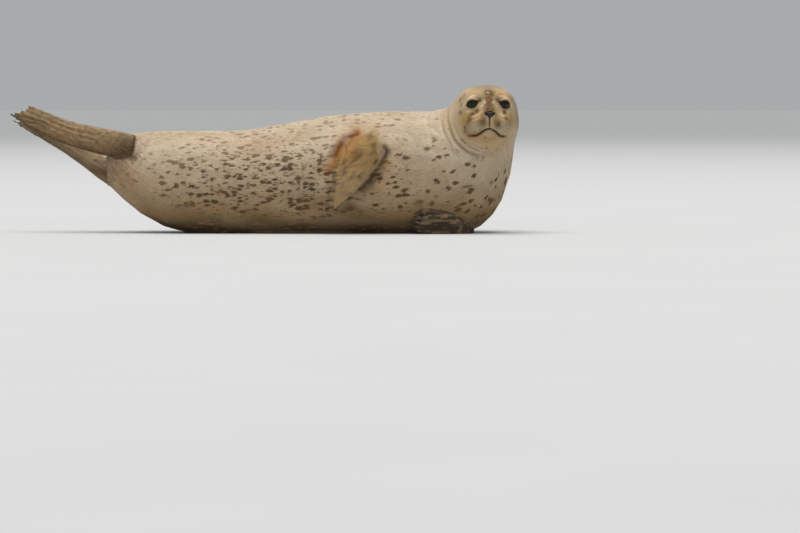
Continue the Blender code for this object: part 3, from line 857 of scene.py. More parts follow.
# %% Where the digits of each flipper point
FLIPPER_TIPS = {}
for node in FLIPPERS:
    limb, _, side = node.split("_")
    if limb == "fore":
        FLIPPER_TIPS[node] = np.mean([middle(claw) for claw in FORE_CLAWS[side]], axis=0)
    else:
        FLIPPER_TIPS[node] = middle(node) * 1.5 - middle("hips") * 0.5
print({node: tip.round(2).tolist() for node, tip in FLIPPER_TIPS.items()})


# %% Place on the pelt
def on_pelt(points):
    """Place on the pelt: along the body's line and to its two sides, with the nearest point of the line."""
    which = nearest_on(BODY_LINE, points)[0]
    offset = points - BODY_LINE[which]
    along = body_lengths[which] + (offset * body_tangents[which]).sum(1)
    across = [(offset * ways[which]).sum(1) for ways in (side_ways, other_ways)]
    return np.column_stack([along, *across]), which


points, normal = points_of(skin_mesh), normals_of(skin_mesh)
belongs = weights_of(points)
pelt, nearest = on_pelt(points)
print("pelt runs", pelt[:, 0].min().round(3), "to", pelt[:, 0].max().round(3), "m")


# %% Flow of the hair
def flow_at(points, normals, belongs, which):
    """The direction in which the hair lies at each point."""
    flow = -body_tangents[which]
    local = in_head(points)
    from_nose = unit(local - np.array([0, -12, 150]) * MM) @ HEAD_AXES
    near_head = ramp(lengths(local), 0.17, 0.10)[:, None]
    flow = flow * (1 - near_head) + from_nose * near_head
    for node in FLIPPERS:
        axis = unit(FLIPPER_TIPS[node] - middle(node))
        flow = flow * (1 - belongs[node][:, None]) + axis * belongs[node][:, None]
    return unit(flow - normals * (flow * normals).sum(1)[:, None])


flow = flow_at(points, normal, belongs, nearest)
print("on the trunk the hair runs", flow[belongs["head"] < 0.1].mean(0).round(2))

# %% [markdown]
# ## Ground colours
# Under the spots the coat is cream on the back, tan on the flank and brown below, with rusty stains where
# the flippers rub, and dark skin on the hind flippers and the folded one. Part of these colours is painted
# light and shade: faces turned up are paler, the underside, the folded flipper and faces turned down are
# darker, creases, folds and the arm's leading edge carry painted shade, and pale lines over and under the
# eyes are painted highlights. These broad colours change
# slowly, so they are laid on the points of the skin one over the other, as a maker sprays them.

# %% Colours, and ways to lay them on
CREAM, TAN, BROWN, UNDERSIDE_SHADE = (0.64, 0.525, 0.38), (0.575, 0.45, 0.30), (0.33, 0.22, 0.105), (0.15, 0.10, 0.045)
RUST, DEEP_RUST, GINGER = (0.46, 0.21, 0.06), (0.20, 0.075, 0.018), (0.40, 0.21, 0.065)
UMBER, DARK_SKIN_IN_SHADE, SLATE = (0.085, 0.052, 0.022), (0.060, 0.044, 0.026), (0.13, 0.11, 0.07)
OLIVE, DARK_OLIVE, GREY = (0.38, 0.25, 0.07), (0.19, 0.125, 0.035), (0.27, 0.225, 0.175)
FAWN, PALE, SAND = (0.56, 0.405, 0.245), (0.76, 0.66, 0.53), (0.45, 0.30, 0.13)
ARM_BROWN, ARM_PALE = (0.37, 0.235, 0.09), (0.43, 0.295, 0.14)
EARTH, HIDE = (0.15, 0.078, 0.028), (0.19, 0.12, 0.050)
LID_BLACK, MOUTH = (0.012, 0.008, 0.005), (0.026, 0.012, 0.005)


def all_over(colour, points):
    """One colour for all the points."""
    return np.tile(np.array(colour), (len(points), 1))


def toward(colour, other, amount):
    """Spray another colour over the first, as thickly as the amount says."""
    return colour + (np.array(other) - colour) * np.clip(amount, 0, 1)[:, None]


def near(places, points, size):
    """1 on a line or at places, and 0 a little way off."""
    return bell(nearest_on(np.array(places, float), points)[1], size)


def spot(local, place, size):
    """1 at a place given in millimetres in the head's frame; size may differ along x, y and z."""
    return bell(lengths((local - np.array(place) * MM) / (np.array(size) * MM)), 1)


print("a tan point half way to rust:", toward(all_over(TAN, [0]), RUST, np.array([0.5])).round(3))

# %% Where the stains of the trunk lie
tree = skin_tree()


def laid(places, count=40):
    """A curve through the places, laid on the finished skin."""
    return dropped(curve_through(places, count), tree)


STAIN = laid([in_box("belly", share) for share in ((0.34, 0, 0.17), (0.36, 0, 0.15))])
RUMP = laid([in_box("hips", share) for share in ((0.04, 0.2, 0.72), (0.18, 0, 0.44))])
print("stains at", STAIN.mean(0).round(3), "and", RUMP.mean(0).round(3))


# %% The trunk
def trunk_colour(points, normals):
    wander = 0.03 * (grain(points, 0.07, 5) - 0.5)
    # Partly the coat's own colour and partly painted light and shade: cream on the back and on faces turned
    # up, brown low on the flank, and a dark brown painted shade along the floor.
    level = points[:, 2] + 0.02 * normals[:, 2] + wander
    colour = toward(all_over(TAN, points), CREAM, ramp(level, 0.13, 0.27))
    colour = toward(colour, BROWN, ramp(level, 0.165, 0.045))
    colour = toward(colour, UNDERSIDE_SHADE, ramp(level, 0.055, 0.008))
    warm = grain(points * [0.5, 1, 1], 0.05, 9)
    colour = toward(colour, FAWN, 0.5 * ramp(warm, 0.45, 0.85))
    return toward(colour, RUST, 0.8 * near(STAIN, points, 0.013) + 0.4 * near(RUMP, points, 0.035))


colour = trunk_colour(points, normal)
# Painted shade: brown along the neck folds, where shade falls in the creases.
for line, strength in zip(neck_lines, (0.8, 0.35, 0.35, 0.3, 0.3)):
    colour = toward(colour, BROWN, strength * near(dropped(line, tree), points, 0.0050))
print("the trunk's mean colour:", colour.mean(0).round(3))

# %% Lines beside the upper fore flipper, in shares of its box along x and z
BEHIND_ARM = ((0.62, 0.97), (0.35, 0.88), (0.17, 0.69), (0.04, 0.53))
# The line of painted shadow along the arm's leading edge
LEADING_EDGE_SHADOW = ((1.16, 0.80), (1.20, 0.73), (1.02, 0.53), (0.73, 0.31), (0.50, 0.06))
ELBOW = ((1.22, 0.60), (1.05, 0.42), (0.92, 0.30))
SHOULDER = ((0.92, 0.95), (1.02, 0.80), (0.98, 0.60))
ARMPIT = ((0.52, 0.88), (0.31, 0.74), (0.16, 0.58))


def beside_arm(shares, points, normals, size):
    """1 near a line on the animal's front."""
    low, high = (corner[[0, 2]] for corner in box_of("fore_flipper_right"))
    line = curve_through(np.array([(*(low + (high - low) * share), 0) for share in shares]), 40)
    away = nearest_on(line, np.column_stack([points[:, 0], points[:, 2], 0 * points[:, 1]]))[1]
    return bell(away, size) * ramp(normals[:, 1], 0.15, -0.25)


print("the leading edge covers", int((beside_arm(LEADING_EDGE_SHADOW, points, normal, 0.0085) > 0.5).sum()), "points")

# %% The upper fore flipper, with painted shadow along its leading edge
limb_axis = unit(FLIPPER_TIPS["fore_flipper_right"] - middle("fore_flipper_right"))
limb_side = unit(np.cross(limb_axis, [0, 1, 0]))
LIMB_AXES = np.array([limb_axis, limb_side, np.cross(limb_axis, limb_side)])


def paint_arm(colour, points, normals, on_arm):
    low, high = box_of("fore_flipper_right")
    share = (points - low) / (high - low)
    arm = toward(all_over(ARM_BROWN, points), ARM_PALE, ramp(share[:, 2], 0.70, 0.35))
    streaky = grain((points - low) @ LIMB_AXES.T * [0.25, 1, 1], 0.009, 4)
    arm = toward(arm, UMBER, 0.75 * ramp(streaky, 0.45, 0.85) * ramp(share[:, 2], 0.10, 0.55))
    arm = toward(arm, RUST, 0.6 * ramp(share[:, 2], 0.45, 0.80) * ramp(share[:, 0], 1.0, 0.2))
    colour = toward(colour, SAND, 0.9 * beside_arm(SHOULDER, points, normals, 0.020))
    colour = toward(colour, GINGER, 1.2 * beside_arm(ARMPIT, points, normals, 0.012))
    # Painted shadow: umber along the leading edge, on the arm and on the body under it, where the thick edge
    # stands off the flank.
    edge = beside_arm(LEADING_EDGE_SHADOW, points, normals, 0.0085)
    arm = toward(arm, UMBER, 0.75 * edge)
    colour = toward(colour, UMBER, edge * (1 - on_arm))
    return colour + (arm - colour) * (on_arm * ramp(share[:, 2], 1.04, 0.88))[:, None]


colour = paint_arm(colour, points, normal, belongs["fore_flipper_right"])
print("the arm's mean colour:", colour[belongs["fore_flipper_right"] > 0.5].mean(0).round(3))


# %% The folded fore flipper
def folded_colour(points, normals):
    streaky = grain(points * [0.25, 1, 1], 0.008, 6)
    # Painted shade and light: the dark ground stands partly for the shade the folded flipper lies in, and
    # faces turned up are painted lighter brown.
    folded = toward(all_over(DARK_SKIN_IN_SHADE, points), BROWN, 0.5 * ramp(normals[:, 2], 0.1, 0.8))
    return toward(folded, FAWN, 0.35 * ramp(streaky, 0.5, 0.85))


colour += (folded_colour(points, normal) - colour) * belongs["fore_flipper_left"][:, None]
print("the folded flipper's mean colour:", colour[belongs["fore_flipper_left"] > 0.5].mean(0).round(3))

# %% The hind flippers and the tail
HEEL = (0.93, 0.25, 0.16)  # in shares of the flipper's box
HIND_AMOUNTS = {"hind_flipper_right": 1.0, "hind_flipper_left": 0.85, "tail": 0.4}


def hind_colour(points, normals):
    axis = unit(FLIPPER_TIPS["hind_flipper_right"] - middle("hind_flipper_right"))
    lengthwise = points - 0.94 * ((points @ axis)[:, None] * axis)
    streaky = grain(lengthwise, 0.0045, 8)
    # Painted light and shade: faces turned up are lighter fawn, faces turned down dark umber.
    hind = toward(all_over(HIDE, points), FAWN, 0.6 * ramp(normals[:, 2], 0.30, 0.90))
    hind = toward(hind, UMBER, ramp(normals[:, 2], 0.0, -0.7))
    hind = toward(hind, UMBER, 0.7 * ramp(streaky, 0.40, 0.80))
    # Dark lines in the furrows between the digits: partly the darker web, partly painted shade in the
    # furrows.
    for line in hind_furrows:
        hind = toward(hind, UMBER, 0.7 * near(dropped(line, tree), points, 0.0032))
    heel = bell(lengths((points - in_box("hind_flipper_right", HEEL)) / 0.046), 1)
    return toward(hind, UMBER, 1.2 * heel * ramp(grain(points, 0.02, 12), -0.3, 0.4))


amount = np.max([share * belongs[name] for name, share in HIND_AMOUNTS.items()], axis=0)
colour = colour + (hind_colour(points, normal) - colour) * amount[:, None]
print("the hind flippers' mean colour:", colour[amount > 0.5].mean(0).round(3))


# %% Rust where the arm rubs
def paint_rust(colour, points, normals):
    patchy = grain(points * [0.5, 1, 1], 0.012, 9)
    behind = 1.2 * beside_arm(BEHIND_ARM, points, normals, 0.015)
    deep = 1.4 * beside_arm(BEHIND_ARM[:3], points, normals, 0.0065)
    colour = toward(colour, RUST, behind * ramp(patchy, -0.2, 0.6))
    colour = toward(colour, RUST, 0.7 * beside_arm(ELBOW, points, normals, 0.012))
    return toward(colour, DEEP_RUST, deep * ramp(patchy, -0.2, 0.5))


before = colour
colour = paint_rust(colour, points, normal)
print("rust on", int((lengths(colour - before) > 0.05).sum()), "points")

# %% Lines and speckles of the face, in millimetres in the head's frame
# Pale lines painted as highlights over and under each eye
BROW_HIGHLIGHTS = both([(14, 22, 98), (18, 34, 90), (30, 43, 82), (46, 42, 74), (62, 30, 66), (73, 14, 56)])
UNDER_EYE_HIGHLIGHTS = both([(22, 12, 96), (34, 3, 90), (48, -3, 82), (62, -4, 70)])
MIDDLE_BROW = curve_through(np.array([(3, 52, 74), (2, 40, 90), (0, 24, 102), (-2, 4, 120)]) * MM, 30)
UNDER_CHIN = curve_through(np.array([(-40, -96, 80), (0, -112, 84), (40, -96, 80)]) * MM, 30)
SPECKLES = (  # place, size, strength
    ((-61, -27, 93), 5.5, 1.0), ((-48, -14, 82), 5.5, 1.0), ((-34, -5, 84), 6.0, 0.8),
    ((-69, -39, 88), 5.0, 0.9), ((-69.5, -53, 71), 4.5, 0.8), ((-65.6, -64.5, 66), 4.5, 0.7),
    ((-81, -8, 52), 5, 0.6), ((-81, 31, 32.5), 5, 0.6), ((-58, -20, 80), 4, 0.6),
    ((-76, 14, 44), 4, 0.5), ((-70, 44, 40), 5, 0.4), ((-40, -18, 86), 4, 0.5),
    ((47, -7, 77), 5, 0.8), ((54.5, -22, 94), 5.5, 1.0), ((62, -36, 80), 4.5, 0.7),
    ((26, -42.5, 119), (5, 7, 9), 1.0),
)
print("speckles:", len(SPECKLES))


# %% Ground of the face
def face_ground(colour, local):
    on_head = ramp(lengths(local), 0.145, 0.115)
    paint = toward(colour, FAWN, on_head * (0.45 + 0.4 * ramp(local[:, 1], 0.01, 0.04)))
    paint = toward(paint, GREY, on_head * ramp(local[:, 1] + 0.15 * local[:, 2], 0.060, 0.085))
    # The far side of the head is darkened with slate: the darker colour of the back of the head, with painted
    # shade.
    paint = toward(paint, SLATE, 0.9 * spot(local, (100, 14, -4), (24, 62, 66)))
    golden = on_head * ramp(local[:, 2], 0.02, 0.08)
    return paint * (1 - golden[:, None] * [0.06, 0.12, 0.30])


local = in_head(points)
colour = face_ground(colour, local)
print("ground painted on", len(colour), "points")


# %% Brow, pads and cheeks
def face_patches(paint, local):
    patchy = ramp(grain(local, 0.005, 2), 0.15, 0.6)
    brow = 1.35 * near(onto_skin(MIDDLE_BROW, local), local, 0.0165)
    paint = toward(paint, EARTH, brow * (0.65 + 0.35 * patchy))
    paint = toward(paint, PALE, 0.9 * spot(local, (-2, 53, 70), 3.5))
    paint = toward(paint, EARTH, 0.9 * patchy * spot(local, (-60, -28, 88), (16, 15, 20)))
    for side, pad, inner in ((-1, DARK_OLIVE, 0.75), (1, OLIVE, 0.35)):
        paint = toward(paint, UMBER, 0.8 * spot(local, (side * 25, 33, 84), (12, 9, 14)))
        paint = toward(paint, pad, 1.1 * spot(local, (side * 23, -38, 120), (13, 16, 20)))
        paint = toward(paint, OLIVE, 0.85 * spot(local, (side * 68, -30, 72), (18, 30, 28)))
        paint = toward(paint, EARTH, inner * spot(local, (side * 16, -34, 122), (6, 11, 14)))
        paint = toward(paint, CREAM, 0.6 * spot(local, (side * 44, -56, 108), (15, 12, 20)))
    return paint


colour = face_patches(colour, local)
print("the muzzle's mean colour:", colour[local[:, 2] > 0.10].mean(0).round(3))


# %% Lines, chin and speckles
def face_lines(paint, local):
    # Painted highlights: pale lines along the brow over each eye and along the lower lids.
    for line in BROW_HIGHLIGHTS + UNDER_EYE_HIGHLIGHTS:
        paint = toward(paint, PALE, 0.9 * near(curve_through(line, 40), local, 0.0040))
    paint = toward(paint, OLIVE, 0.6 * spot(local, (9, -89, 99), (38, 14, 30)))
    # Painted shade: brown in the folds round the whisker pads, and under the chin.
    for line in pad_folds:
        paint = toward(paint, BROWN, 0.7 * near(line, local, 0.0045))
    paint = toward(paint, BROWN, 0.3 * near(UNDER_CHIN, local, 0.014))
    for place, size, strength in SPECKLES:
        paint = toward(paint, EARTH, 1.5 * strength * spot(local, place, np.array(size) * 1.5))
    return paint


before = colour
colour = face_lines(colour, local)
print("lines and speckles on", int((lengths(colour - before) > 0.05).sum()), "points")

# %% Mouth, philtrum and the dark rims of the eyes
mouth_bottom, philtrum_bottom = onto_skin(mouth_line, local), onto_skin(philtrum, local)


def face_openings(paint, local):
    right_lip = [place for place in mouth_line if place[0] < -0.026]
    paint = toward(paint, RUST, 0.8 * near(right_lip, local, 0.0085))
    paint = toward(paint, EARTH, 0.7 * near(mouth_bottom, local, 0.0055))
    paint = toward(paint, MOUTH, 1.1 * near(mouth_bottom[10:-10], local, 0.0031))
    paint = toward(paint, MOUTH, 1.0 * near(philtrum_bottom[: len(philtrum) * 3 // 4], local, 0.0028))
    past = past_the_lid(mirrored(local))[0]
    at_eye = ramp(lengths(mirrored(local) - EYE), EYE_FAR, EYE_NEAR)
    paint = toward(paint, UMBER, 0.8 * at_eye * ramp(past, 0.0060, 0.0030))
    return toward(paint, LID_BLACK, at_eye * ramp(past, 0.0034, 0.0018))


colour = face_openings(colour, local)
print("darkest point:", colour.sum(1).min().round(3), "palest point:", colour.sum(1).max().round(3))

# %% [markdown]
# ## Where the spots grow
# A spotted seal has hundreds of small dark dashes. They stand closest on the middle of the flank, fade to
# pinkish brown on the back, and are few but larger on chest and neck. The material draws them, so
# here each point only learns how strong and how large its spots may be.

# %% Strength and size of the spots
def spotting(points, belongs, pelt):
    level = points[:, 2] / 0.33
    flank = bell(level - 0.42, 0.30)
    behind = ramp(pelt[:, 0], 0.40, 0.10)
    strength = (0.46 + 0.56 * flank) * (1 - 0.40 * behind)
    chest = ramp(pelt[:, 0], 0.84, 0.98)
    strength = strength * (1 + 0.15 * chest)
    head = np.maximum(belongs["head"], ramp(lengths(in_head(points)), 0.14, 0.11))
    strength *= 1 - 0.75 * head
    strength *= 1 - 0.55 * belongs["flippers"]
    thickest = 0.55 * bell(level - 0.45, 0.32) * bell(pelt[:, 0] - 0.52, 0.30)
    close = 0.45 + thickest - 0.25 * chest - 0.3 * behind
    return strength, close, chest


strength, close, chest = spotting(points, belongs, pelt)
HALF_SHADE = 0.5  # the skin's own shade; each tuft gets another one by chance
marks = np.column_stack([strength, close, np.full(len(points), HALF_SHADE), chest])
print("strength of the spots", strength.min().round(2), "to", strength.max().round(2))

# %% Keep the fields on the mesh, where the material can read them
ATTRIBUTE_KINDS = {1: ("FLOAT", "value"), 3: ("FLOAT_VECTOR", "vector"), 4: ("FLOAT_COLOR", "color")}


def keep(mesh, name, values):
    values = np.ascontiguousarray(values, np.float32)
    kind, slot = ATTRIBUTE_KINDS[values.shape[1] if values.ndim > 1 else 1]
    mesh.attributes.new(name, kind, "POINT").data.foreach_set(slot, values.ravel())


keep(skin_mesh, "pelt", pelt)
keep(skin_mesh, "ground", np.column_stack([colour, np.ones(len(colour))]))
keep(skin_mesh, "marks", marks)
print("fields kept on", skin_mesh.name)

# %% [markdown]
# ## The coat's material
# The spots come from a Voronoi texture, which gives each cell of space one point and one random colour. The
# cells are stretched along the pelt, their edges are bent by noise, and the random colour says
# how large each cell's spot is, or that it has none. Two layers, large and small, make the dashes and the
# flecks between them. Fine streaks in colour and bump stand for the hair.


# %% Helpers for nodes
def node(tree, kind, inputs=(), **settings):
    """Make a node, set its settings, and link or set its inputs by name or number."""
    made = tree.nodes.new("ShaderNode" + kind)
    for name, value in settings.items():
        setattr(made, name, value)
    for name, value in dict(inputs).items():
        if isinstance(value, bpy.types.NodeSocket):
            tree.links.new(value, made.inputs[name])
        else:
            made.inputs[name].default_value = value
    return made


def material(name, roughness):
    made = bpy.data.materials.new(name)
    made.use_nodes = True
    shader = made.node_tree.nodes["Principled BSDF"]
    shader.inputs["Roughness"].default_value = roughness
    return made, made.node_tree, shader


print("materials so far:", len(bpy.data.materials))


# %% Helpers for sums and places
def maths(tree, kind, *values):
    return node(tree, "Math", dict(enumerate(values)), operation=kind).outputs[0]


def vectors(tree, kind, first, second):
    return node(tree, "VectorMath", {0: first, 1: second}, operation=kind).outputs[0]


def scaled_by(tree, vector, factor):
    return node(tree, "VectorMath", {0: vector, "Scale": factor}, operation="SCALE").outputs[0]


def stretched(tree, place, sizes):
    """The place counted in lengths of the given size, with one size in metres for each direction."""
    return vectors(tree, "MULTIPLY", place, tuple(1 / size for size in sizes))


def mapped(tree, value, start, end, low=0.0, high=1.0):
    """Carry the range from start to end over to low to high, with soft ends."""
    inputs = {"Value": value, "From Min": start, "From Max": end, "To Min": low, "To Max": high}
    return node(tree, "MapRange", inputs, interpolation_type="SMOOTHSTEP").outputs[0]


# %% Helpers for mixed colours and noise
def mixed(tree, amount, first, second):
    made = node(tree, "Mix", data_type="RGBA")
    for slot, value in ((0, amount), (6, first), (7, second)):
        if isinstance(value, bpy.types.NodeSocket):
            tree.links.new(value, made.inputs[slot])
        else:
            made.inputs[slot].default_value = value if slot == 0 else (*value, 1.0)
    return made.outputs[2]


def noise(tree, place, size, detail=2.0):
    """Noise over the given place; size is in metres, or one number for each direction."""
    sizes = size if isinstance(size, tuple) else (size,) * 3
    inputs = {"Vector": stretched(tree, place, sizes), "Scale": 1.0, "Detail": detail}
    return node(tree, "TexNoise", inputs)


# %% Spots
def spots(tree, pelt, cell, shift, largest, kept, warp=0.9):
    """Stretched spots, one to a cell at most. largest is in cells; kept is the share of cells without one."""
    moved = vectors(tree, "ADD", stretched(tree, pelt, cell), shift)
    bent = noise(tree, moved, 0.55, 2.0).outputs["Color"]
    centred = vectors(tree, "SUBTRACT", bent, (0.5, 0.5, 0.5))
    place = vectors(tree, "ADD", moved, scaled_by(tree, centred, warp))
    cells = node(tree, "TexVoronoi", {"Vector": place, "Scale": 1.0})
    chance = node(tree, "SeparateColor", {0: cells.outputs["Color"]}).outputs[0]
    sizes = {"Value": chance, "From Min": kept, "From Max": 1.0, "To Min": 0.0, "To Max": largest}
    radius = node(tree, "MapRange", sizes).outputs[0]
    room = maths(tree, "SUBTRACT", radius, cells.outputs["Distance"])
    return mapped(tree, room, -0.05, 0.09)


# %% What the coat reads from the skin
coat, tree, shader = material("short_coat", 0.72)
shader.inputs["Specular IOR Level"].default_value = 0.18
shader.inputs["Sheen Weight"].default_value = 0.03
shader.inputs["Sheen Roughness"].default_value = 0.5
pelt_place = node(tree, "Attribute", attribute_name="pelt").outputs["Vector"]
ground = node(tree, "Attribute", attribute_name="ground").outputs["Color"]
marks_read = node(tree, "Attribute", attribute_name="marks")
mark = node(tree, "SeparateColor", {0: marks_read.outputs["Color"]})
spot_strength, spot_close, hair_shade = mark.outputs
chest_share = marks_read.outputs["Alpha"]
print("the coat reads pelt, ground and marks")

# %% Three layers of spots, each with the size of its cells in metres
no_dash = maths(tree, "SUBTRACT", 1.0, spot_close)
no_fleck = maths(tree, "SUBTRACT", 1.2, spot_close)
dashes = spots(tree, pelt_place, (0.0215, 0.0112, 0.0112), (3.1, 7.7, 1.3), 0.68, no_dash)
flecks = spots(tree, pelt_place, (0.011, 0.006, 0.006), (9.4, 2.6, 5.1), 0.58, no_fleck)
blotches = spots(tree, pelt_place, (0.030, 0.021, 0.021), (4.8, 0.7, 8.2), 0.42, 0.55, warp=0.8)
flecks = maths(tree, "MULTIPLY", flecks, 0.75)
blotches = maths(tree, "MULTIPLY", blotches, chest_share)
spotted = maths(tree, "MAXIMUM", maths(tree, "MAXIMUM", dashes, flecks), blotches)
spotted = maths(tree, "MULTIPLY", spotted, mapped(tree, spot_strength, 0.0, 0.55, 0.0, 0.92))
print("spots:", len(tree.nodes), "nodes so far")

# %% Colour of the spots: dark on the flank, pinkish brown where they are weak
SPOT_DARK, SPOT_WARM, SPOT_FAINT = (0.085, 0.047, 0.020), (0.165, 0.080, 0.033), (0.34, 0.22, 0.135)
tint = noise(tree, pelt_place, 0.05).outputs["Fac"]
dark_spot = mixed(tree, mapped(tree, tint, 0.35, 0.65), SPOT_DARK, SPOT_WARM)
spot_colour = mixed(tree, mapped(tree, spot_strength, 0.50, 0.88), SPOT_FAINT, dark_spot)
print("spot colours:", SPOT_DARK, SPOT_WARM, SPOT_FAINT)

# %% Streaks of hair in shade, roughness and bump
streaks = noise(tree, pelt_place, (0.012, 0.0016, 0.0016), 3.0).outputs["Fac"]
clouds = noise(tree, pelt_place, (0.09, 0.05, 0.05), 3.0).outputs["Fac"]
streaky = mapped(tree, streaks, 0.25, 0.75, 0.86, 1.08)
cloudy = mapped(tree, clouds, 0.3, 0.7, -0.07, 0.07)
by_tuft = mapped(tree, hair_shade, 0.0, 1.0, -0.13, 0.13)
shade = maths(tree, "ADD", maths(tree, "ADD", streaky, cloudy), by_tuft)
painted = mixed(tree, spotted, scaled_by(tree, ground, shade), spot_colour)
tree.links.new(painted, shader.inputs["Base Color"])
tree.links.new(mapped(tree, streaks, 0.2, 0.8, 0.62, 0.82), shader.inputs["Roughness"])
bump = node(tree, "Bump", {"Height": streaks, "Strength": 0.35, "Distance": 0.0008})
tree.links.new(bump.outputs[0], shader.inputs["Normal"])
skin_mesh.materials.append(coat)
print("coat material:", len(tree.nodes), "nodes")

# %% [markdown]
# ## Tufts
# The coat is short and lies flat, so most of it is in the material. Over that lie thin closed tufts of four
# faces each, root under the skin and tip a little proud, that overlap like shingles and break the
# outline. They are sown evenly over the skin's faces, and each takes its colour from its root.


# %% Meshes from tables
def mesh_piece(name, points, faces, finish, uv=None):
    """A piece from its points and from faces that all have the same number of corners."""
    mesh = bpy.data.meshes.new(name)
    mesh.vertices.add(len(points))
    mesh.vertices.foreach_set("co", np.ascontiguousarray(points, np.float32).ravel())
    mesh.loops.add(faces.size)
    mesh.loops.foreach_set("vertex_index", np.ascontiguousarray(faces, np.int32).ravel())
    mesh.polygons.add(len(faces))
    mesh.polygons.foreach_set("loop_start", np.arange(0, faces.size, faces.shape[1], dtype=np.int32))
    mesh.update(calc_edges=True)
    if uv is not None:
        unwrap = mesh.uv_layers.new(name="OFBake")
        unwrap.data.foreach_set("uv", uv[faces.ravel()].astype(np.float32).ravel())
    mesh.materials.append(finish)
    piece = bpy.data.objects.new(name, mesh)
    bpy.context.scene.collection.objects.link(piece)
    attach(piece, "root")
    return piece


# %% Regions of the coat
skin_mesh.calc_loop_triangles()
corners = table_of(skin_mesh.loop_triangles, "vertices", 3, np.int32)
sides = points[corners[:, 1:]] - points[corners[:, :1]]
areas = lengths(np.cross(sides[:, 0], sides[:, 1])) / 2
part = {name: values[corners].mean(1) for name, values in belongs.items()}
on_fore = part["fore_flipper_right"] + part["fore_flipper_left"] > 0.5
on_hind = part["hind_flipper_right"] + part["hind_flipper_left"] + part["tail"] > 0.5
places = [part["face"] > 0.5, part["head"] > 0.5, on_fore, on_hind]
region = np.select(places, ["face", "head", "fore_flippers", "hind_flippers"], "trunk").astype("U16")
print("faces of the skin:", len(corners), "area", areas.sum().round(3), "m2")

# %% Six lots of equal area along the trunk
TRUNK_PARTS = ("hips", "belly", "waist", "thorax", "breast", "neck")
run = pelt[corners].mean(1)[:, 0]
order = np.argsort(run + 9 * (region != "trunk"))[: int((region == "trunk").sum())]
lot = np.minimum(6 * np.cumsum(areas[order]) / areas[order].sum(), 5.999).astype(int)
region[order] = np.array(TRUNK_PARTS)[lot]
print({name: int((region == name).sum()) for name in TRUNK_PARTS}, "faces")

# %% Sizes of the tufts
HAIR = {  # tufts per square metre, length, width and lift in millimetres
    **{name: (228000, 7.0, 1.4, 0.8) for name in TRUNK_PARTS},
    "head": (420000, 5.0, 1.1, 0.7), "face": (620000, 3.0, 0.8, 0.6),
    "fore_flippers": (420000, 5, 1.1, 0.75), "hind_flippers": (300000, 4.5, 1.1, 0.55),
}
MOST_TUFTS = 48000
ROOT_DEEP = 0.3 * MM  # how far the roots go under the skin, and how far every tuft stays off the floor


def turned(vectors, axes, angles):
    return vectors * np.cos(angles)[:, None] + np.cross(axes, vectors) * np.sin(angles)[:, None]


right_angle = np.array([math.pi / 2])
print("a hair turned by a right angle:", turned(np.eye(3)[:1], np.eye(3)[2:], right_angle).round(2))


# %% Where hair grows
def grows_at(root, up):
    """No hair on the eyeball, the lid's rim or the nose leather, nor between body and floor."""
    at = in_head(root)
    past = past_the_lid(mirrored(at))[0]
    on_ball = lengths(mirrored(at) - EYE) < 28 * MM
    off_nose = (heart(*((at - NOSE_AT) / NOSE_SIZE).T[:2]) > 0.97) | (at[:, 2] < 0.09)
    off_mouth = nearest_on(np.vstack([mouth_bottom, philtrum_bottom]), at)[1] > 2.4 * MM
    off_floor = (root[:, 2] > 2 * MM) | (up[:, 2] > -0.5)
    return (~on_ball | (past > 1.8 * MM)) & off_nose & off_mouth & off_floor


print("hair grows at", int(grows_at(points, normal).sum()), "of", len(points), "points")


# %% The coat laid flat
def unrolled(name, root, place):
    """Where a root lies on the skin laid flat: round and along the trunk, or outwards from the muzzle."""
    if name in ("face", "head"):
        at = in_head(root)
        reach = np.arccos(np.clip(unit(at)[:, 2], -1, 1)) / math.pi
        turn = np.arctan2(at[:, 0], at[:, 1])
        return 0.5 + 0.49 * reach[:, None] * np.column_stack([np.sin(turn), np.cos(turn)])
    if "flippers" in name:
        low, high = root.min(0), root.max(0)
        share = (root - low) / (high - low)
        return np.column_stack([share[:, 0], 0.5 * share[:, 2] + 0.5 * (share[:, 1] > 0.5)]) * 0.98 + 0.01
    turn = np.arctan2(place[:, 2], place[:, 1]) / (2 * math.pi) + 0.5
    return np.column_stack([turn, (place[:, 0] - place[:, 0].min()) / np.ptp(place[:, 0])]) * 0.98 + 0.01


print("the neck's first corner lies flat at", unrolled("neck", points[:99], pelt[:99])[0].round(2))


# %% Draw the roots, evenly by area
def drawn(name, rng):
    """Faces of the skin, a place on each as shares of its corners, and the region's area."""
    chosen = np.flatnonzero(region == name)
    total = np.cumsum(areas[chosen])
    count = int(min(MOST_TUFTS, HAIR[name][0] * total[-1]))
    picks = chosen[np.searchsorted(total, (np.arange(count) + rng.random(count)) / count * total[-1])]
    a, b = rng.random((2, count))
    a, b = np.where(a + b > 1, [1 - a, 1 - b], [a, b])
    return picks, np.column_stack([1 - a - b, a, b])[:, :, None], total[-1]


def taken(values, picks, share):
    """The skin's values at the drawn places."""
    values = values if values.ndim > 1 else values[:, None]
    return (values[corners[picks]] * share).sum(1)


print("roots drawn on the face:", len(drawn("face", np.random.default_rng(0))[0]))

# %% Shape the tufts
TUFT_FACES = np.array([[0, 3, 2], [2, 3, 1], [0, 2, 1], [1, 3, 0]])  # the last one is underneath
TUFT_PATCH = np.array([[-1.4, -1.4], [1.4, -1.4], [0, 0], [0, 1.4]]) * 0.001  # on the unwrapped coat


def four_corners(root, up, lie, side, long, wide, tall):
    four = np.stack([
        root - side * wide / 2 - up * ROOT_DEEP,
        root + side * wide / 2 - up * ROOT_DEEP,
        root + lie * long * 0.45 + up * tall,
        root + lie * long + up * tall * 1.1,
    ], axis=1).reshape(-1, 3)
    four[:, 2] = np.maximum(four[:, 2], ROOT_DEEP)
    return four


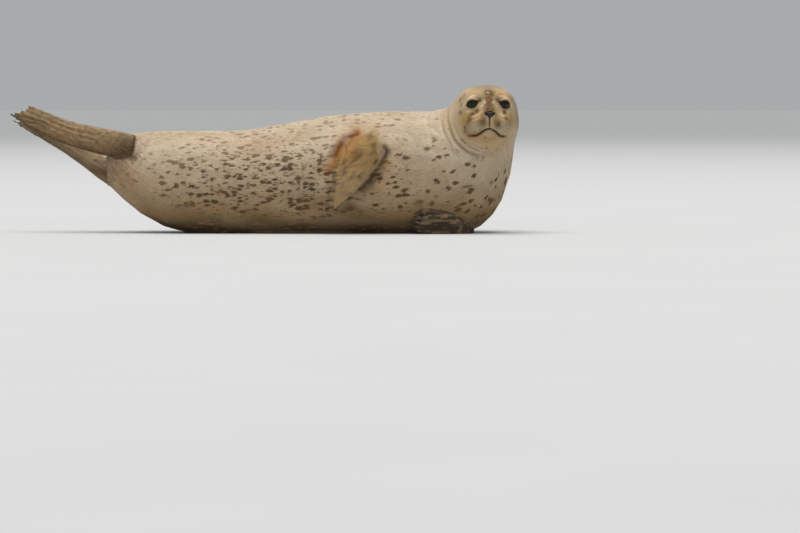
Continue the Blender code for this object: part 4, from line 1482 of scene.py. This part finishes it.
def facing_of(up, lie, side, triangles):
    """Directions for the light: tufts shade like the skin below them, a little rounded."""
    facing = np.stack([unit(up - 0.35 * side), unit(up + 0.35 * side), up, unit(up + 0.15 * lie)], axis=1)
    facing = facing.reshape(-1, 3)[triangles.ravel()].reshape(len(up), 4, 3, 3)
    facing[:, 3] = -up[:, None]
    return facing.reshape(-1, 3)


print("a tuft has", len(TUFT_FACES), "faces")


# %% Sow them
def sow(name, seed):
    length, width, lift = HAIR[name][1:]
    rng = np.random.default_rng(seed)
    picks, share, area = drawn(name, rng)
    grows = grows_at(taken(points, picks, share), unit(taken(normal, picks, share)))
    picks, share, count = picks[grows], share[grows], int(grows.sum())
    root, place = taken(points, picks, share), taken(pelt, picks, share)
    up, deep = unit(taken(normal, picks, share)), taken(depth, picks, share) / DEEPEST
    bend = 0.12 * rng.standard_normal(count) + 0.25 * (grain(root, 0.05, 3) - 0.5)
    lie = turned(unit(taken(flow, picks, share)), up, bend)
    side = np.cross(up, lie)
    long = length * MM * rng.uniform(0.75, 1.2, count)[:, None]
    wide = width * MM * rng.uniform(0.8, 1.2, count)[:, None]
    tall = lift * deep * rng.uniform(0.7, 1.3, count)[:, None]
    four = four_corners(root, up, lie, side, long, wide, tall)
    triangles = (np.arange(count)[:, None, None] * 4 + TUFT_FACES).reshape(-1, 3)
    uv = (unrolled(name, root, place)[:, None] + TUFT_PATCH).reshape(-1, 2)
    piece = mesh_piece("coat_" + name, four, triangles, coat, uv)
    piece.data.normals_split_custom_set(facing_of(up, lie, side, triangles))
    mark = taken(marks, picks, share)
    mark[:, 2] = rng.random(count)
    root_colour = np.column_stack([taken(colour, picks, share), np.ones(count)])
    for field, values in (("pelt", place), ("ground", root_colour), ("marks", mark)):
        keep(piece.data, field, np.repeat(values, 4, axis=0))
    print(piece.name, count, "tufts, area", area.round(3), "m2")
    return piece


depth = coat_depth(points, belongs)
coats = [sow(name, seed) for seed, name in enumerate(HAIR)]
print("coat:", sum(len(piece.data.polygons) for piece in coats), "triangles in", len(coats), "pieces")

# %% [markdown]
# ## Eyes
# A seal's eye is large, round and almost black, and always wet. The ball has a slightly raised cornea over a
# brown iris, which only shows as a faint ring round the wide pupil.


# %% Eyeballs
def ball_mesh(name):
    made = bmesh.new()
    bmesh.ops.create_uvsphere(made, u_segments=72, v_segments=48, radius=EYE_RADIUS)
    mesh = bpy.data.meshes.new(name)
    made.to_mesh(mesh)
    made.free()
    mesh.shade_smooth()
    return mesh


# %% The wet finish of the eyes
PUPIL, IRIS_DARK, IRIS_PALE = (0.0025, 0.002, 0.002), (0.007, 0.0038, 0.002), (0.018, 0.010, 0.005)
wet, tree, shader = material("wet_eye", 0.06)
shader.inputs["Specular IOR Level"].default_value = 0.30
from_pupil = node(tree, "Attribute", attribute_name="from_pupil").outputs["Fac"]
rays = noise(tree, node(tree, "TexCoord").outputs["Object"], 0.0016, 3.0).outputs["Fac"]
iris = mixed(tree, rays, IRIS_DARK, IRIS_PALE)
ring = maths(tree, "MULTIPLY", mapped(tree, from_pupil, 0.30, 0.36), mapped(tree, from_pupil, 0.74, 0.62))
tree.links.new(mixed(tree, ring, PUPIL, iris), shader.inputs["Base Color"])
print("eye material:", len(tree.nodes), "nodes")

# %% Set the eyes in their sockets
CORNEA = 0.7 * MM  # how far the cornea stands out
for side, sign in (("left", 1), ("right", -1)):
    eye_mesh = ball_mesh("eyeball_" + side)
    facing = unit(EYE_FACES * [sign, 1, 1]) @ HEAD_AXES
    spokes = unit(points_of(eye_mesh))
    turn = np.arccos(np.clip(spokes @ facing, -1, 1))
    cornea = CORNEA * ramp(turn, 0.62, 0.30)
    set_points(eye_mesh, spokes * (EYE_RADIUS + cornea)[:, None] + middle("eye_" + side))
    keep(eye_mesh, "from_pupil", turn)
    eye_mesh.materials.append(wet)
    eyeball = bpy.data.objects.new("eyeball_" + side, eye_mesh)
    bpy.context.scene.collection.objects.link(eyeball)
    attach(eyeball, "root")
    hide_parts("eye_" + side)
print("eyeballs", round(2 * EYE_RADIUS / MM, 1), "mm across")

# %% [markdown]
# ## Nose
# The nose leather is a small dark heart: broad above, drawn to a point where the philtrum starts, with two
# slanted nostrils that a seal keeps shut at rest. It is a rounded pad, shaped by its outline, with the
# nostrils pressed in by the same groove brush as the mouth.

# %% The heart-shaped pad
NOSE_STEPS = 72
row, column = np.mgrid[0 : NOSE_STEPS + 1, 0:NOSE_STEPS]
slope = (row / NOSE_STEPS * math.pi * 0.62).ravel()
turn = (column / NOSE_STEPS * 2 * math.pi).ravel()
wide_at, high_at = np.sin(slope) * np.sin(turn), np.sin(slope) * np.cos(turn)
narrows = 1 - 0.80 * ramp(high_at, 0.55, -1.0)
notch = 1 - 0.16 * bell(wide_at, 0.30) * ramp(high_at, 0.2, 0.9)
pad = np.column_stack([
    NOSE_SIZE[0] * wide_at * narrows,
    NOSE_SIZE[1] * np.where(high_at < 0, 1.15 * high_at, 0.72 * np.abs(high_at) ** 0.6 * notch),
    NOSE_SIZE[2] * np.cos(slope) * (1 + 0.15 * high_at),
]) + NOSE_AT
print("nose pad:", len(pad), "points")

# %% Nostrils, and the groove between them
pad_up = unit((pad - NOSE_AT) / NOSE_SIZE**2)
for slit in both([(15.0, -9.5, 123), (11.0, -13.5, 125.5), (6.0, -19.0, 126)]):
    slit = np.array([pad[lengths(pad - place).argmin()] for place in curve_through(slit, 30)])
    groove(pad, pad_up, slit, 4.0 * MM, 2.2 * MM, bank=0.15, fade=0.25)
middle_line = pad[np.argsort(np.abs(wide_at))[:160]]
groove(pad, pad_up, middle_line[np.argsort(-middle_line[:, 1])], 0.5 * MM, 1.2 * MM)
after = (column[:-1] + 1) % NOSE_STEPS
inner, outer = row[:-1] * NOSE_STEPS, row[1:] * NOSE_STEPS
quads = np.stack([inner + column[:-1], outer + column[:-1], outer + after, inner + after], axis=-1)
print("nose faces:", quads[..., 0].size)

# %% Leather
LEATHER_DARK, LEATHER_PALE = (0.012, 0.007, 0.006), (0.034, 0.020, 0.017)
leather, tree, shader = material("nose_leather", 0.38)
pores = node(tree, "TexVoronoi", {"Vector": node(tree, "TexCoord").outputs["Object"], "Scale": 900.0})
dapple = noise(tree, node(tree, "TexCoord").outputs["Object"], 0.006).outputs["Fac"]
tree.links.new(mixed(tree, dapple, LEATHER_DARK, LEATHER_PALE), shader.inputs["Base Color"])
pebbles = node(tree, "Bump", {"Height": pores.outputs["Distance"], "Strength": 0.5, "Distance": 0.0004})
tree.links.new(pebbles.outputs[0], shader.inputs["Normal"])
nose = mesh_piece("nose_pad", from_head(pad), quads.reshape(-1, 4), leather)
nose.data.shade_smooth()
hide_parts("nose")
print("nose material:", len(tree.nodes), "nodes")

# %% [markdown]
# ## Claws
# Each digit ends in a strong, slightly curved claw of dark horn. The cast's claws give root, tip and
# thickness. New ones are built ring by ring along a gently bent line, with fine ridges.


# %% Claw shapes
def tube_faces(rings, around):
    """Four-sided faces between neighbouring rings of points."""
    number = np.arange(rings * around).reshape(rings, around)
    after = np.roll(number, -1, axis=1)
    return np.stack([number[:-1], after[:-1], after[1:], number[1:]], axis=-1).reshape(-1, 4)


def claw_rings(root, tip, radius, droop, rings=22, around=18):
    """Points and faces of a claw from root to tip, bent towards droop."""
    axis = unit(tip - root)
    droop = unit(droop - axis * (droop @ axis))
    across = np.cross(axis, droop)
    share = np.linspace(0, 1, rings)[:, None, None]
    angle = np.linspace(0, 2 * math.pi, around, endpoint=False)[None, :, None]
    bow = 0.55 * radius * np.sin(share * math.pi)
    thick = radius * (1 - share**1.7) ** 0.8 * ramp(share, -0.015, 0.16) * (1 + 0.03 * np.sin(7 * angle))
    line = root + (tip - root) * share - droop * bow
    rim = line + thick * (np.cos(angle) * across * 0.8 + np.sin(angle) * droop)
    return rim.reshape(-1, 3), tube_faces(rings, around), np.repeat(share.ravel(), around)


print("a claw has", len(tube_faces(22, 18)), "faces")


# %% Several claws in one piece
def claw_piece(name, claws, droop, replaced=()):
    rings = [claw_rings(root, tip, radius, droop) for root, tip, radius in claws]
    rims, faces, shares = zip(*rings)
    faces = [face + number * len(rims[0]) for number, face in enumerate(faces)]
    piece = mesh_piece(name, np.vstack(rims), np.vstack(faces), horn)
    piece.data.shade_smooth()
    keep(piece.data, "to_tip", np.concatenate(shares))
    if replaced:
        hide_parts(*replaced)
    print(name, len(claws), "claws")


# %% Horn, paler at the root
ROOT_DARK, ROOT_PALE, TIP_HORN = (0.085, 0.058, 0.034), (0.17, 0.125, 0.078), (0.028, 0.018, 0.010)
horn, tree, shader = material("claw_horn", 0.48)
shader.inputs["Specular IOR Level"].default_value = 0.25
to_tip = node(tree, "Attribute", attribute_name="to_tip").outputs["Fac"]
lines = noise(tree, node(tree, "TexCoord").outputs["Object"], (0.004, 0.0008, 0.0008), 3.0).outputs["Fac"]
root_horn = mixed(tree, lines, ROOT_DARK, ROOT_PALE)
horn_colour = mixed(tree, mapped(tree, to_tip, 0.05, 0.75), root_horn, TIP_HORN)
tree.links.new(horn_colour, shader.inputs["Base Color"])
ridges = node(tree, "Bump", {"Height": lines, "Strength": 0.3, "Distance": 0.0003})
tree.links.new(ridges.outputs[0], shader.inputs["Normal"])
print("horn material:", len(tree.nodes), "nodes")

# %% Claws of the fore flippers
CLAW_SINK = {"right": np.array([0.0, 2.2, -0.6]) * MM, "left": np.array([0.0, 1.6, -1.6]) * MM}
for side, names in FORE_CLAWS.items():
    claws = []
    for name in names:
        cast = points_of(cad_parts[name].data)
        tip = cast[lengths(cast - middle("fore_flipper_" + side)).argmax()]
        away = lengths(cast - tip)
        root = cast[away > 0.8 * away.max()].mean(0)
        along = unit(tip - root)
        radius = lengths(np.cross(cast - root, along)).max() * 0.92
        claws.append((root - along * 3 * MM + CLAW_SINK[side], tip, radius))
    claw_piece("claws_fore_" + side, claws, np.array([0.0, 1.0, -0.6]), names)

# %% Claws of the hind flippers
for side in SIDES:
    claws = []
    for tip in claw_tips("hind_flipper_" + side):
        back = unit(tip - middle("hind_flipper_" + side))
        claws.append((tip - back * 15 * MM, tip - back * 2 * MM, 1.9 * MM))
    claw_piece("claws_hind_" + side, claws, np.array([0.0, 0.5, -1.0]))

# %% [markdown]
# ## Whiskers
# A seal's whiskers are stiff, flattened and slightly wavy, set in rows on the pads and swept back and down.
# A few more stand over each eye. Each is one thin tapered tube.


# %% Whiskers
def tube(line, radii, around=5):
    ahead = unit(np.gradient(line, axis=0))
    aside = unit(np.cross(ahead, [0.13, 0.21, 0.97]))
    above = np.cross(ahead, aside)
    angle = np.linspace(0, 2 * math.pi, around, endpoint=False)[None, :, None]
    spokes = np.cos(angle) * aside[:, None] + np.sin(angle) * above[:, None]
    rim = line[:, None] + radii[:, None, None] * spokes
    return rim.reshape(-1, 3), tube_faces(len(line), around)


rng = np.random.default_rng(41)
whiskers, whisker_faces = [], []
WHISKER_STEPS = 14


def add_whisker(root, aim, length, droop):
    share = np.linspace(0, 1, WHISKER_STEPS)
    out = share[:, None]
    line = root + length * out * aim + np.array(droop) * (out**2) * length
    wave = np.sin(share * 26 + rng.uniform(0, 6))[:, None]
    line += 0.35 * MM * wave * np.cross(aim, [0.3, 0.5, 0.8]) * out
    rim, faces = tube(from_head(line), (0.34 - 0.27 * share) * MM)
    whisker_faces.append(faces + len(rim) * len(whiskers))
    whiskers.append(rim)


print("a whisker has", WHISKER_STEPS, "rings")

# %% Rows on the pads, and a few over each eye
BROW_WHISKERS = ((28, 44, 80, 16), (32, 47, 77, 20), (37, 46, 75, 15), (33, 42, 80, 12))  # place and length

for number, line in enumerate(whisker_rows):
    side = 1 if line[-1][0] > 0 else -1
    for share in np.linspace(0.12, 0.88, 6):
        root = line[int(share * (len(line) - 1))]
        ahead = [side * (0.55 + 0.5 * share), -0.25 - 0.05 * (number // 2), 0.35 - 0.75 * share]
        aim = unit(np.array(ahead) + 0.08 * rng.standard_normal(3))
        length = rng.uniform(34, 50) * MM * (0.55 + 0.75 * share)
        add_whisker(root, aim, length, [0, -0.22, -0.45])
for side in (1, -1):
    for x, y, z, long in BROW_WHISKERS:
        root, aim = np.array([side * x, y, z]) * MM, unit([side * 0.25, 0.75, 0.35])
        add_whisker(root, aim, long * MM, [side * 0.15, -0.1, -0.45])
print("whiskers:", len(whiskers))

# %% Bristle
BRISTLE_DARK, BRISTLE_PALE = (0.30, 0.24, 0.16), (0.55, 0.47, 0.36)
bristle, tree, shader = material("whisker", 0.35)
band = noise(tree, node(tree, "TexCoord").outputs["Object"], 0.01).outputs["Fac"]
tree.links.new(mixed(tree, band, BRISTLE_DARK, BRISTLE_PALE), shader.inputs["Base Color"])
whisker_piece = mesh_piece("whiskers", np.vstack(whiskers), np.vstack(whisker_faces), bristle)
whisker_piece.data.shade_smooth()
print("whisker material:", len(tree.nodes), "nodes")

# %% [markdown]
# ## Floor, light and camera
# The seal lies on a plain pale floor that darkens with distance, so that its far edge melts into the
# backdrop. One broad soft light hangs high over it, and the world gives a weak fill from all sides.

# %% Floor
FLOOR_REACH = 80.0
FLOOR_DARK, FLOOR_PALE, FLOOR_FAR = (0.60, 0.605, 0.605), (0.64, 0.645, 0.645), (0.328, 0.336, 0.340)
disc = bmesh.new()
bmesh.ops.create_circle(disc, cap_ends=True, segments=128, radius=FLOOR_REACH)
floor_mesh = bpy.data.meshes.new("floor")
disc.to_mesh(floor_mesh)
disc.free()
floor = bpy.data.objects.new("floor", floor_mesh)
bpy.context.scene.collection.objects.link(floor)
pale, tree, shader = material("pale_floor", 0.85)
place = node(tree, "TexCoord").outputs["Object"]
distance = node(tree, "VectorMath", {0: place}, operation="LENGTH").outputs["Value"]
far = mapped(tree, distance, 2.5, 30.0)
mottle = noise(tree, place, 0.6, 3.0).outputs["Fac"]
near_floor = mixed(tree, mottle, FLOOR_DARK, FLOOR_PALE)
tree.links.new(mixed(tree, far, near_floor, FLOOR_FAR), shader.inputs["Base Color"])
floor_mesh.materials.append(pale)
print("floor", 2 * FLOOR_REACH, "m across")

# %% World and light
world = bpy.data.worlds.new("studio")
bpy.context.scene.world = world
world.use_nodes = True
backdrop = world.node_tree.nodes["Background"]
backdrop.inputs["Color"].default_value = (0.395, 0.405, 0.41, 1)
backdrop.inputs["Strength"].default_value = 1.0
sun = bpy.data.lights.new("soft_light", "SUN")
sun.energy = 2.7
sun.angle = math.radians(50)
sun.color = (1.0, 0.985, 0.96)
sky_light = bpy.data.objects.new("soft_light", sun)
bpy.context.scene.collection.objects.link(sky_light)
sky_light.rotation_euler = (math.radians(12), math.radians(-6), 0)
bpy.context.scene.view_settings.view_transform = "Standard"
print("light", round(sun.energy, 2), "world", round(backdrop.inputs["Strength"].default_value, 2))

# %% Camera
AIM = Vector((0.402, 0.0, -0.102))
RISE, AWAY, LENS = math.radians(2.5), 12.0, 180.0
lens = bpy.data.cameras.new("camera")
lens.sensor_width, lens.lens, lens.clip_end = 36.0, LENS, 300.0
camera = bpy.data.objects.new("camera", lens)
bpy.context.scene.collection.objects.link(camera)
towards = Vector((0, -math.cos(RISE), math.sin(RISE)))
camera.location = AIM + towards * AWAY
camera.rotation_mode = "QUATERNION"
camera.rotation_quaternion = (-towards).to_track_quat("-Z", "Y")
bpy.context.scene.camera = camera
print("camera", round(camera.location.z, 3), "m above the floor")
